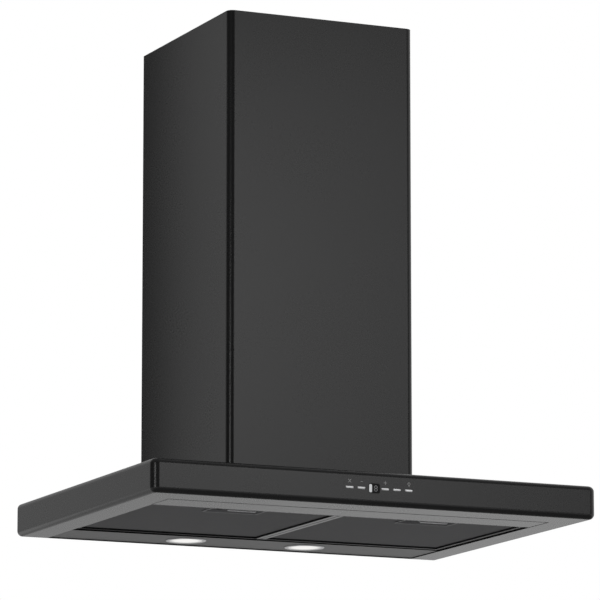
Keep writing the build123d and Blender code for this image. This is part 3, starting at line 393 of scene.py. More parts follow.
def smooth_step(tree: NodeTree, value: Socket, span: Pair, result: Pair) -> Socket:
    """A smooth step from one result to another.

    Args:
        tree: the tree that it goes into.
        value: the output that is stepped.
        span: where the step starts and ends.
        result: what comes out before and after it.

    Returns:
        The output that holds the result.
    """
    labels = ("Value", "From Min", "From Max", "To Min", "To Max")
    feeds = dict(zip(labels, (value, *span, *result)))
    step = add_node(tree, "ShaderNodeMapRange", feeds, interpolation_type="SMOOTHSTEP")
    return step.outputs["Result"]


def mix_shaders(tree: NodeTree, choice: Socket, first: Socket, second: Socket) -> Socket:
    """The first shader where the choice is 0 and the second where it is 1."""
    feeds = {"Fac": choice, 1: first, 2: second}
    return add_node(tree, "ShaderNodeMixShader", feeds).outputs["Shader"]


# ---------------------------------------------------------------- shared effects


class Effect:
    """A shared node group that turns a place on a piece into colour, roughness and height."""

    inputs: ClassVar[dict[str, float | tuple]] = {
        "Tone": (0.5, 0.5, 0.5, 1.0),
        "Tone Change": 0.1,
        "Gloss": 0.4,
        "Gloss Change": 0.05,
        "Fineness": 900.0,
    }

    def __init__(self, name: str, **more_inputs: float) -> None:
        """Starts the group.

        Args:
            name: the group's name.
            more_inputs: further inputs, with underscores for spaces, and their first values.
        """
        self.tree = bpy.data.node_groups.new(name, "ShaderNodeTree")
        face = self.tree.interface
        face.new_socket("Place", in_out="INPUT", socket_type="NodeSocketVector")
        for label, value in {**self.inputs, **more_inputs}.items():
            kind = "NodeSocketColor" if isinstance(value, tuple) else "NodeSocketFloat"
            socket = face.new_socket(label.replace("_", " "), in_out="INPUT", socket_type=kind)
            socket.default_value = value
        face.new_socket("Colour", in_out="OUTPUT", socket_type="NodeSocketColor")
        for label in ("Roughness", "Height"):
            face.new_socket(label, in_out="OUTPUT", socket_type="NodeSocketFloat")
        self.inlet = self.tree.nodes.new("NodeGroupInput").outputs
        self.outlet = self.tree.nodes.new("NodeGroupOutput")

    def noise(self, place: Socket, fineness: Socket, detail: float) -> Socket:
        """A noise from 0 to 1, read at a place, with a few finer layers for detail."""
        feeds = {"Vector": place, "Scale": fineness, "Detail": detail}
        return add_node(self.tree, "ShaderNodeTexNoise", feeds).outputs["Fac"]

    def swing(self, pattern: Socket, change: Socket) -> Socket:
        """A pattern about zero, as wide as the change."""
        return maths(self.tree, "MULTIPLY", maths(self.tree, "SUBTRACT", pattern, 0.5), change)

    def close(self, tones: Socket, glosses: Socket, height: Socket) -> NodeTree:
        """Lets patterns vary the tone and the gloss, and feeds the group's outputs.

        Args:
            tones: the pattern that makes the tone lighter and darker.
            glosses: the pattern that raises and lowers the roughness.
            height: the pattern of the relief.

        Returns:
            The finished group.
        """
        gain = maths(self.tree, "ADD", self.swing(tones, self.inlet["Tone Change"]), 1.0)
        feeds = {0: self.inlet["Tone"], "Scale": gain}
        tone = add_node(self.tree, "ShaderNodeVectorMath", feeds, operation="SCALE")
        change = self.swing(glosses, self.inlet["Gloss Change"])
        gloss = maths(self.tree, "ADD", self.inlet["Gloss"], change)
        feeds = {"Colour": tone.outputs["Vector"], "Roughness": gloss, "Height": height}
        feed(self.tree, self.outlet, feeds)
        return self.tree


def make_grain_effect() -> NodeTree:
    """Fine grain with broad clouds: the surface of paint, moulded plastic and rubber.

    Returns:
        The effect's group.
    """
    effect = Effect("fine_grain", Cloud_Fineness=9.0)
    place = effect.inlet["Place"]
    fine = effect.noise(place, effect.inlet["Fineness"], detail=2.0)
    clouds = effect.noise(place, effect.inlet["Cloud Fineness"], detail=3.0)
    both = maths(effect.tree, "MULTIPLY", maths(effect.tree, "ADD", fine, clouds), 0.5)
    return effect.close(clouds, both, fine)


def make_brushed_effect() -> NodeTree:
    """Fine parallel lines along X, as a sander or a rolling mill leaves on bare metal.

    Returns:
        The effect's group.
    """
    effect = Effect("brushed_lines")
    feeds = {"Vector": effect.inlet["Place"], "Scale": BRUSH_STRETCH}
    stretched = add_node(effect.tree, "ShaderNodeMapping", feeds).outputs["Vector"]
    lines = effect.noise(stretched, effect.inlet["Fineness"], detail=2.0)
    return effect.close(lines, lines, lines)


def make_spangle_effect() -> NodeTree:
    """The frost-like crystals of a hot-dipped zinc coat, each with its own tone and gloss.

    Returns:
        The effect's group.
    """
    effect = Effect("zinc_spangle")
    feeds = {"Vector": effect.inlet["Place"], "Scale": effect.inlet["Fineness"]}
    cells = add_node(effect.tree, "ShaderNodeTexVoronoi", feeds).outputs
    split = add_node(effect.tree, "ShaderNodeSeparateColor", {"Color": cells["Color"]}).outputs
    return effect.close(split["Red"], split["Green"], cells["Distance"])


GRAIN = make_grain_effect()
BRUSHED = make_brushed_effect()
SPANGLE = make_spangle_effect()


# ---------------------------------------------------------------- finishes


class Recipe:
    """A material under construction: its tree, its main shader and its Object coordinates."""

    def __init__(self, name: str) -> None:
        """Starts a node material with one Principled shader.

        Args:
            name: the material's name.
        """
        self.material = bpy.data.materials.new(name)
        self.material.use_nodes = True
        self.tree = self.material.node_tree
        self.shader = self.tree.nodes["Principled BSDF"]
        self.place = self.add("ShaderNodeTexCoord").outputs["Object"]

    def add(self, kind: str, feeds: Feeds | None = None, **options: object) -> Node:
        """Adds a node to the material's tree, as add_node does."""
        return add_node(self.tree, kind, feeds, **options)

    def put(self, feeds: Feeds) -> None:
        """Feeds the shader's own sockets."""
        feed(self.tree, self.shader, feeds)

    def coat(self, effect: NodeTree, feeds: Feeds) -> bpy.types.NodeOutputs:
        """Lays a shared effect over the shader's colour and roughness.

        Args:
            effect: the effect's node group.
            feeds: this material's own values for the effect's inputs.

        Returns:
            The effect's outputs.
        """
        feeds = {"Place": self.place, **feeds}
        outputs = self.add("ShaderNodeGroup", feeds, node_tree=effect).outputs
        self.put({"Base Color": outputs["Colour"], "Roughness": outputs["Roughness"]})
        return outputs


@dataclass(frozen=True)
class Finish:
    """A surface made from one shared effect and the shader's own constants."""

    tone: Triple
    gloss: float
    relief: float
    fineness: float
    shine: float = 0.5
    effect: ClassVar[NodeTree] = GRAIN
    changes: ClassVar[Feeds] = {}
    metallic: ClassVar[float] = 0.0
    relief_strength: ClassVar[float] = 0.6

    def make(self, name: str) -> Material:
        """Makes the surface's material.

        Args:
            name: the material's name.

        Returns:
            The finished material.
        """
        recipe = Recipe(name)
        own = {"Tone": (*self.tone, 1.0), "Gloss": self.gloss, "Fineness": self.fineness}
        coat = recipe.coat(self.effect, {**own, **self.changes})
        recipe.put({"Metallic": self.metallic, "Specular IOR Level": self.shine})
        if self.relief:
            feeds = {"Strength": self.relief_strength, "Distance": self.relief}
            bump = recipe.add("ShaderNodeBump", {**feeds, "Height": coat["Height"]})
            recipe.put({"Normal": bump.outputs["Normal"]})
        self.light(recipe, coat["Colour"])
        return recipe.material

    def light(self, recipe: Recipe, colour: Socket) -> None:
        """Makes the surface shine by itself, which only a lit one does."""


@dataclass(frozen=True)
class Paint(Finish):
    """Baked powder paint on steel: smooth and satin, with the faintest orange peel."""

    gloss: float = 0.27
    relief: float = 0.0015 * MM
    fineness: float = 420.0
    changes: ClassVar[Feeds] = {"Tone Change": 0.12, "Gloss Change": 0.05, "Cloud Fineness": 7.0}


@dataclass(frozen=True)
class Plastic(Finish):
    """Moulded plastic or rubber with a light spark-eroded texture."""

    gloss: float = 0.45
    relief: float = 0.02 * MM
    fineness: float = 1400.0
    changes: ClassVar[Feeds] = {"Tone Change": 0.15, "Gloss Change": 0.12, "Cloud Fineness": 25.0}


@dataclass(frozen=True)
class Metal(Finish):
    """Bare metal with fine brushed or drawn lines."""

    gloss: float = 0.3
    relief: float = 0.003 * MM
    fineness: float = 1500.0
    effect: ClassVar[NodeTree] = BRUSHED
    changes: ClassVar[Feeds] = {"Tone Change": 0.18, "Gloss Change": 0.12}
    metallic: ClassVar[float] = 1.0


@dataclass(frozen=True)
class Zinc(Finish):
    """Hot-dipped sheet steel with its spangle."""

    tone: Triple = (0.56, 0.58, 0.6)
    gloss: float = 0.42
    relief: float = 0.0
    fineness: float = 110.0
    effect: ClassVar[NodeTree] = SPANGLE
    changes: ClassVar[Feeds] = {"Tone Change": 0.28, "Gloss Change": 0.22}
    metallic: ClassVar[float] = 1.0


@dataclass(frozen=True, kw_only=True)
class LitLens(Finish):
    """A frosted lamp lens with its light on, brightest in the middle."""

    centre: Vector
    radius: float
    tone: Triple = (0.24, 0.24, 0.235)
    gloss: float = 0.5
    relief: float = 0.0
    fineness: float = 2500.0
    strength: float = 0.74
    bright_share: float = 0.6
    rim_share: float = 0.3
    dim_tone: Triple = (0.42, 0.42, 0.42)
    lit_tone: Triple = (1.0, 0.985, 0.96)

    def light(self, recipe: Recipe, colour: Socket) -> None:
        """Makes the lens shine round the middle of its own lamp.

        Args:
            recipe: the lens's material.
            colour: the effect's colour, which the light leaves alone.
        """
        shift = recipe.add(
            "ShaderNodeMapping",
            {"Vector": recipe.place, "Location": (-self.centre.x, -self.centre.y, 0.0)},
        )
        feeds = {0: shift.outputs["Vector"], 1: (1.0, 1.0, 0.0)}
        flat = recipe.add("ShaderNodeVectorMath", feeds, operation="MULTIPLY")
        reach = recipe.add("ShaderNodeVectorMath", {0: flat.outputs[0]}, operation="LENGTH")
        span = (self.bright_share * self.radius, self.radius)
        fade = smooth_step(recipe.tree, reach.outputs["Value"], span, (1.0, self.rim_share))
        feeds = {"Factor": fade, "A": (*self.dim_tone, 1.0), "B": (*self.lit_tone, 1.0)}
        glow = recipe.add("ShaderNodeMix", feeds, data_type="RGBA").outputs["Result"]
        recipe.put({"Emission Color": glow, "Emission Strength": self.strength})


@dataclass(frozen=True)
class LitMark(Finish):
    """A small printed or lit mark behind a clear skin."""

    gloss: float = 0.3
    relief: float = 0.0
    fineness: float = 3000.0
    strength: float = 0.0

    def light(self, recipe: Recipe, colour: Socket) -> None:
        """Makes the mark shine in its own colour."""
        recipe.put({"Emission Color": colour, "Emission Strength": self.strength})


BLACK_PAINT = Paint(tone=(0.0058, 0.0058, 0.006))
SATIN_PAINT = Paint(tone=BLACK_PAINT.tone, gloss=0.38)
PRINTED_MARK = LitMark(tone=(0.3, 0.3, 0.3))
# The resting display segments get a faint painted glow in their own grey, though they are unlit.
UNLIT_SEGMENT_PAINTED_GLOW = LitMark(tone=(0.2, 0.2, 0.205), strength=0.05)

FINISHES: dict[str, Finish] = {
    "black_steel": BLACK_PAINT,
    "black_panel": BLACK_PAINT,
    "filter_border": Paint(tone=(0.0105, 0.0105, 0.0107), gloss=0.29),
    "filter_mesh": Paint(tone=(0.085, 0.085, 0.087), gloss=0.38),
    "latch_plastic": Plastic(tone=(0.13, 0.13, 0.133), gloss=0.5, shine=0.15),
    "latch_grip": Metal(tone=(0.6, 0.6, 0.61)),
    "spring_steel": Metal(tone=(0.16, 0.16, 0.165)),
    "lamp_metal": Metal(tone=(0.6, 0.6, 0.61)),
    "lamp_glass": LitMark(tone=(0.9, 0.89, 0.86), strength=1.0),
    "heat_sink": Metal(tone=(0.52, 0.53, 0.54), gloss=0.42),
    "button_metal": Metal(tone=(0.88, 0.88, 0.89)),
    "display_black": Plastic(tone=(0.004, 0.004, 0.0045), gloss=0.2, relief=0.0, shine=0.08),
    "display_light": LitMark(tone=(0.55, 0.56, 0.57), strength=0.12),
    "control_plastic": Plastic(tone=(0.03, 0.03, 0.032)),
    "circuit_board": Plastic(tone=(0.02, 0.14, 0.06), gloss=0.35),
    "galvanised": Zinc(),
    "blower_plastic": Plastic(tone=(0.035, 0.036, 0.038), gloss=0.42),
    "wheel_plastic": Plastic(tone=(0.5, 0.5, 0.48), gloss=0.5),
    "motor_steel": Zinc(tone=(0.5, 0.5, 0.52), fineness=300.0),
    "shaft_steel": Metal(tone=(0.62, 0.62, 0.63), gloss=0.2),
    "gasket_rubber": Plastic(tone=(0.014, 0.014, 0.014), gloss=0.75),
    "collar_plastic": Plastic(tone=(0.02, 0.02, 0.021)),
    "case_plastic": Plastic(tone=(0.55, 0.55, 0.52), gloss=0.5),
    "capacitor_shell": Plastic(tone=(0.7, 0.7, 0.68), gloss=0.35),
    "gland_plastic": Plastic(tone=(0.025, 0.025, 0.026), gloss=0.4),
    "screw_zinc": Metal(tone=(0.66, 0.66, 0.62), gloss=0.28),
}


class Palette:
    """Every slot's finished material, made once."""

    def __init__(self) -> None:
        """Makes each finish under its slot's name."""
        self.made = {slot: finish.make(slot + "_finish") for slot, finish in FINISHES.items()}

    def __getitem__(self, slot: str) -> Material:
        """The finished material of one slot."""
        return self.made[slot]

    def dress_cad_nodes(self) -> None:
        """Gives every carried-over CAD node the finish of its own slot."""
        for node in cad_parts.values():
            for holder in node.material_slots:
                holder.material = self.made[holder.material.name.split(".")[0]]
        log.info("%d CAD nodes dressed", len(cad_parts))


@dataclass
class Assembly:
    """A sub-assembly of the hood, which takes its finishes from the palette."""

    palette: Palette

    def hand_over(
        self,
        piece: Piece,
        body: str,
        slot: str,
        *replaces: str,
        finish: Material | None = None,
        smooth: float = SMOOTH_ANGLE,
    ) -> None:
        """Shades and paints a finished piece and makes it ride on its body.

        Args:
            piece: the finished piece.
            body: the body that carries it.
            slot: the record's material slot that its finish stands for.
            replaces: the CAD nodes that it stands for.
            finish: its own finish, where it doesn't take the slot's.
            smooth: the angle, in degrees, past which an edge stays sharp.
        """
        take_up(piece)
        bpy.ops.object.shade_smooth_by_angle(angle=math.radians(smooth))
        use_modifier(piece, "WEIGHTED_NORMAL", keep_sharp=True, weight=NORMAL_WEIGHT)
        piece.data.materials.clear()
        piece.data.materials.append(self.palette[slot] if finish is None else finish)
        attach(piece, body)
        if replaces:
            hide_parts(*replaces)
        log.info("%s rides on %s, %d faces", piece.name, body, len(piece.data.polygons))


# ---------------------------------------------------------------- canopy


CONTROL_BODIES = (
    "button_fan_off",
    "button_slower",
    "button_faster",
    "button_timer",
    "button_light",
)


@dataclass
class Canopy(Assembly):
    """The canopy's bent steel shell and the two pressed panels on its lips."""

    corner_radius: float = 9.5 * MM
    bend_radius: float = 7.0 * MM
    bend_flats: int = 8
    side_lip: float = 41.0 * MM
    front_lip: float = 50.0 * MM
    back_edge: float = 0.05 * MM
    casing_foot: float = 10.0 * MM
    slot_width: float = 10.9 * MM
    slot_height: float = 2.6 * MM
    slot_corner: float = 1.2 * MM
    window_gap: float = 0.2 * MM
    window_corner: float = 2.4 * MM
    fold_radius: float = 0.75 * MM
    screw_hole: float = 2.2 * MM
    screw_head: float = 3.6 * MM
    panel_front_gap: float = 2.6 * MM
    panel_side_gap: float = 1.2 * MM
    panel_rear_step: float = 7.0 * MM
    rear_flange: float = 10.0 * MM
    keeper_width: float = 26.0 * MM
    keeper_height: float = 4.4 * MM
    keeper_drop: float = 0.5 * MM
    lamp_hole: float = 23.0 * MM
    lamp_hole_sides: int = 96
    tab_slot_width: float = 16.0 * MM
    tab_slot_rise: float = 1.5 * MM
    tab_slot_high: float = 17.0 * MM

    def build(self) -> None:
        """Builds the shell and both panels."""
        self.low, self.high = node_box("canopy_shell")
        self.half_opening = self.high.x - self.side_lip
        self.build_shell()
        self.build_cross_panel()
        self.build_lamp_panel()

    def build_shell(self) -> None:
        """Bends the shell from one block and cuts its openings."""
        low, high = self.low, self.high
        shell = start_block(low, high, "canopy_shell_bent")
        round_edges(shell, self.corner_radius, edges(Axis.Z, y=low.y), self.bend_flats)
        round_edges(
            shell,
            self.bend_radius,
            lambda middle, _: middle.y < high.y - SHEET
            and (near(middle.z, low.z) or near(middle.z, high.z)),
            self.bend_flats,
        )
        thicken(shell)
        casing_low, casing_high = node_box("blower_casing")
        foot = Vector((self.casing_foot, self.casing_foot, 0))
        cut(
            shell,
            start_block(
                (low.x + self.side_lip, low.y + self.front_lip, -2 * SHEET),
                (high.x - self.side_lip, -SHEET - self.back_edge, 3 * SHEET),
            ),
            start_block(
                Vector((casing_low.x, casing_low.y, high.z - 3 * SHEET)) + foot,
                Vector((casing_high.x, casing_high.y, high.z + SHEET)) - foot,
            ),
            *self.screw_cutters("casing_screws"),
            *self.screw_cutters("cover_screws"),
            *self.control_cutters(),
        )
        ease_edges(shell)
        self.hand_over(shell, "hood", "black_steel", "canopy_shell")

    def screw_cutters(self, node: str) -> list[Piece]:
        """Makes the round cutters where four screws pass the canopy's top.

        Args:
            node: the CAD node that holds the four screws.

        Returns:
            The four cutters.
        """
        low, high = node_box(node)
        return [
            start_round(
                Vector((x, y, self.high.z)), self.screw_hole, 6 * SHEET, sides=HOLE_SIDES
            )
            for x in (low.x + self.screw_head, high.x - self.screw_head)
            for y in (low.y + self.screw_head, high.y - self.screw_head)
        ]

    def control_cutters(self) -> list[Piece]:
        """Makes the cutters for the five button slots and the display's window.

        Returns:
            The six cutters.
        """
        front, gap = about(self.low.y, 6 * SHEET), self.window_gap
        cutters = []
        for body in CONTROL_BODIES:
            centre = node_centre(body)
            across, tall = about(centre.x, self.slot_width), about(centre.z, self.slot_height)
            slot = start_span(across, front, tall)
            round_edges(slot, self.slot_corner, edges(Axis.Y))
            cutters.append(slot)
        low, high = node_box("display_window")
        window = start_span((low.x - gap, high.x + gap), front, (low.z - gap, high.z + gap))
        round_edges(window, self.window_corner, edges(Axis.Y), flats=6)
        return [*cutters, window]

    def build_cross_panel(self) -> None:
        """Presses the cross panel, which lies on the front lip with a shadow gap round it."""
        low, high = node_box("front_cross_panel")
        half, inside = self.half_opening, self.half_opening - self.panel_side_gap
        panel = start_block(low, (high.x, high.y, low.z + SHEET), "cross_panel_folded")
        pan = start_block(
            (-inside, self.low.y + self.front_lip + self.panel_front_gap, self.low.z),
            (inside, high.y - self.panel_rear_step, low.z + SHEET / 2),
        )
        round_edges(pan, self.fold_radius, edges(z=self.low.z))
        weld(panel, pan, start_block((-half, high.y - SHEET, low.z), (half, high.y, high.z)))
        for side in SIDES:
            across = about(node_centre(f"latch_housing_{side}").x, self.keeper_width)
            level = node_box(f"latch_slider_{side}")[1].z - self.keeper_drop
            tall = about(level, self.keeper_height)
            cut(panel, start_span(across, about(high.y, 4 * SHEET), tall))
        ease_edges(panel)
        self.hand_over(panel, "hood", "black_panel", "front_cross_panel")

    def build_lamp_panel(self) -> None:
        """Folds the lamp panel, with a flange along its front and one along its rear."""
        low, high = node_box("lamp_panel")
        half, rear_top = self.half_opening, low.z + self.rear_flange
        panel = start_block(low, (high.x, high.y, low.z + SHEET), "lamp_panel_folded")
        weld(
            panel,
            start_block((-half, low.y, low.z), (half, low.y + SHEET, high.z)),
            start_block((-half, high.y - SHEET, low.z), (half, high.y, rear_top)),
        )
        round_edges(panel, self.fold_radius, edges(Axis.X, y=low.y, z=low.z))
        through = (low.y - SHEET, low.y + 2 * SHEET)
        for side in SIDES:
            lamp = node_centre(f"lamp_bezel_{side}")
            hole = Vector((lamp.x, lamp.y, low.z))
            cut(panel, start_round(hole, self.lamp_hole, 6 * SHEET, sides=self.lamp_hole_sides))
            slot_low = node_box(f"filter_frame_{side}")[0].z + self.tab_slot_rise
            for x in tab_places(side):
                across = about(x, self.tab_slot_width)
                cut(panel, start_span(across, through, (slot_low, self.tab_slot_high)))
        ease_edges(panel)
        satin = SATIN_PAINT.make("lamp_panel_finish")
        self.hand_over(panel, "hood", "black_panel", "lamp_panel", finish=satin)


# ---------------------------------------------------------------- controls


@dataclass(frozen=True)
class Stroke:
    """A straight stroke of a printed mark, in shares of the mark's size."""

    length: float
    turn: float = 0.0
    rise: float = 0.0
    width: ClassVar[float] = 0.42 * MM
    skin: ClassVar[float] = 0.03 * MM

    def draw(self, spot: Vector, size: float) -> Piece:
        """Draws the stroke.

        Args:
            spot: the mark's middle on the fascia.
            size: the mark's size.

        Returns:
            The stroke.
        """
        return start_bar(
            (spot.x, spot.y, spot.z + self.rise * size),
            (self.length * size, 2 * self.skin, self.width),
            (0.0, math.radians(self.turn), 0.0),
        )


@dataclass(frozen=True)
class Ring:
    """A thin ring of a printed mark, in shares of the mark's size."""

    radius: float
    rise: float = 0.0
    sides: int = 40

    def draw(self, spot: Vector, size: float) -> Piece:
        """Draws the ring.

        Args:
            spot: the mark's middle on the fascia.
            size: the mark's size.

        Returns:
            The ring.
        """
        centre = spot + Vector((0.0, 0.0, self.rise * size))
        radius = self.radius * size
        outer = start_round(centre, radius, 2 * Stroke.skin, Axis.Y, self.sides)
        radius -= Stroke.width
        cut(outer, start_round(centre, radius, 8 * Stroke.skin, Axis.Y, self.sides))
        return outer


MARKS: dict[str, tuple[str, tuple[Stroke | Ring, ...]]] = {
    "mark_still_fan": ("button_fan_off", (Stroke(1.35, turn=48), Stroke(1.35, turn=-48))),
    "mark_slower": ("button_slower", (Stroke(0.7),)),
    "mark_faster": ("button_faster", (Stroke(1.1), Stroke(1.1, turn=90))),
    "mark_lamp": (
        "button_light",
        (Ring(0.42, rise=0.12), Stroke(0.34, rise=-0.42), Stroke(0.22, rise=-0.6)),
    ),
}


@dataclass
class ControlStrip(Assembly):
    """The five push buttons, the display and the small marks above the buttons."""

    bar_width: float = 9.4 * MM
    bar_height: float = 1.15 * MM
    bar_corner: float = 0.45 * MM
    bar_rim: float = 0.25 * MM
    rim_gap: float = 0.3 * MM
    retainer: float = 1.2 * MM
    plunger_width: float = 4.0 * MM
    window_corner: float = 2.2 * MM
    window_ease: float = 0.2 * MM
    light_end: float = 1.5 * MM
    light_rim: float = 0.15 * MM
    mark_rise: float = 7.6 * MM
    mark_size: float = 4.2 * MM
    digit_width: float = 3.6 * MM
    digit_height: float = 6.4 * MM
    digit_stroke: float = 0.75 * MM
    digit_gap: float = 0.12 * MM

    def build(self) -> None:
        """Builds the buttons, the display and the marks."""
        self.face = node_box("canopy_shell")[0].y
        for body in CONTROL_BODIES:
            self.build_button(body)
        self.build_display()
        self.build_marks()

    def build_button(self, body: str) -> None:
        """Builds one button: its bar, its retaining rim and its plunger.

        Args:
            body: the button's body, which is also its CAD node.
        """
        low, high = node_box(body)
        centre = (low + high) / 2
        rim_front = self.face + SHEET + self.rim_gap
        rim_rear = rim_front + self.retainer
        across, tall = about(centre.x, self.bar_width), about(centre.z, self.bar_height)
        bar = start_span(across, (low.y, rim_front), tall, body + "_bar")
        round_edges(bar, self.bar_corner, edges(Axis.Y), flats=5)
        round_edges(bar, self.bar_rim, edges(y=low.y), flats=3)
        rim = start_block((low.x, rim_front, low.z), (high.x, rim_rear, high.z))
        plunger = start_span(about(centre.x, self.plunger_width), (rim_rear, high.y), tall)
        gather(bar, rim, plunger)
        self.hand_over(bar, body, "button_metal", body)

    def build_display(self) -> None:
        """Builds the display's dark window with its lit bar and its resting digit."""
        low, high = node_box("display_window")
        window = start_block(low, high, "display_window_glass")
        round_edges(window, self.window_corner, edges(Axis.Y), flats=8)
        bar_low, bar_high = node_box("display_bar")
        pocket = start_block((bar_low.x, low.y - SHEET, bar_low.z), bar_high)
        round_edges(pocket, self.light_end, edges(Axis.Y), flats=6)
        cut(window, pocket)
        ease_edges(window, self.window_ease)
        self.hand_over(window, "hood", "display_black", "display_window")
        bar = start_block(bar_low, bar_high, "display_bar_light")
        round_edges(bar, self.light_end, edges(Axis.Y), flats=6)
        round_edges(bar, self.light_rim, edges(y=bar_low.y), flats=3)
        self.hand_over(bar, "hood", "display_light", "display_bar")
        self.build_digit((bar_high.x + high.x) / 2, (low.z + high.z) / 2, low.y)

    def build_digit(self, x: float, z: float, face: float) -> None:
        """Builds the seven resting segments of the display's digit, which show a faint painted glow
        though they are unlit.

        Args:
            x: the digit's centre across.
            z: the digit's centre upwards.
            face: the window's front face.
        """
        half_width, half_height = self.digit_width / 2, self.digit_height / 2
        stroke, skin = self.digit_stroke, 2 * Stroke.skin
        flat = (self.digit_width - stroke - 2 * self.digit_gap, skin, stroke)
        tall = (stroke, skin, half_height - stroke - 2 * self.digit_gap)
        segments = [
            start_bar((x, face, z + level * half_height), flat, name="display_digit")
            for level in (-1, 0, 1)
        ]
        segments += [
            start_bar((x + side * half_width, face, z + level * half_height / 2), tall)
            for side in (-1, 1)
            for level in (-1, 1)
        ]
        gather(*segments)
        # Painted glow: the unlit segments shine faintly in their own grey.
        unlit = UNLIT_SEGMENT_PAINTED_GLOW.make("unlit_segment_finish")
        self.hand_over(segments[0], "hood", "display_light", finish=unlit)

    def build_marks(self) -> None:
        """Prints the marks over the buttons: a still fan, slower, faster and a lamp."""
        printed = PRINTED_MARK.make("printed_mark_finish")
        for name, (body, shapes) in MARKS.items():
            centre = node_centre(body)
            spot = Vector((centre.x, self.face, centre.z + self.mark_rise))
            mark, *others = (shape.draw(spot, self.mark_size) for shape in shapes)
            if others:
                gather(mark, *others)
            mark.name = name
            self.hand_over(mark, "hood", "button_metal", finish=printed)


# ---------------------------------------------------------------- chimney


@dataclass
class Chimney(Assembly):
    """The fixed lower cover and the telescoping upper cover, each a bent U of sheet."""

    lower_corner: float = 9.0 * MM
    upper_corner: float = 7.0 * MM
    corner_flats: int = 10
    lower_return: float = 15.0 * MM
    upper_return: float = 2.0 * MM
    foot_flange: float = 8.0 * MM
    foot_setback: float = 15.0 * MM
    screw_hole: float = 2.2 * MM

    def build(self) -> None:
        """Builds both covers."""
        low, high = node_box("chimney_lower_cover")
        lower = self.bend_cover(
            "chimney_cover_bent", low, high, self.lower_corner, self.lower_return
        )
        along = (low.y + self.foot_setback, high.y - self.foot_setback)
        feet = [
            start_span((x, x + self.foot_flange), along, (low.z, low.z + SHEET))
            for x in (low.x + SHEET, high.x - SHEET - self.foot_flange)
        ]
        gather(lower, *feet)
        self.hand_over(lower, "hood", "black_steel", "chimney_lower_cover")
        low, high = node_box("chimney_upper_cover")
        upper = self.bend_cover(
            "chimney_slider_bent", low, high, self.upper_corner, self.upper_return
        )
        screws = node_centre("bracket_screws")
        screws.x = 0.0
        length = 2 * high.x + 4 * SHEET
        cut(upper, start_round(screws, self.screw_hole, length, Axis.X, HOLE_SIDES))
        self.hand_over(upper, "upper_chimney", "black_steel", "chimney_upper_cover")

    def bend_cover(
        self, name: str, low: Vector, high: Vector, corner: float, returns: float
    ) -> Piece:
        """Bends one cover from a block: open at its top, its foot and towards the wall.

        Args:
            name: the cover's name.
            low: its lowest corner.
            high: its highest corner.
            corner: the outer radius of its two front bends.
            returns: how far each side turns in along the wall.

        Returns:
            The cover, with its wall.
        """
        cover = start_block(low, high, name)
        round_edges(cover, corner, edges(Axis.Z, y=low.y), self.corner_flats)
        remove_faces(cover, lambda _, normal: abs(normal.z) > STRAIGHT or normal.y > STRAIGHT)
        for side_x, inwards in ((low.x, returns), (high.x, -returns)):
            with picked(cover, Element.EDGE, edges(Axis.Z, x=side_x, y=high.y)):
                bpy.ops.mesh.extrude_region_move(
                    TRANSFORM_OT_translate={"value": (inwards, 0.0, 0.0)}
                )
        thicken(cover)
        ease_edges(cover)
        return cover


# ---------------------------------------------------------------- grease filters


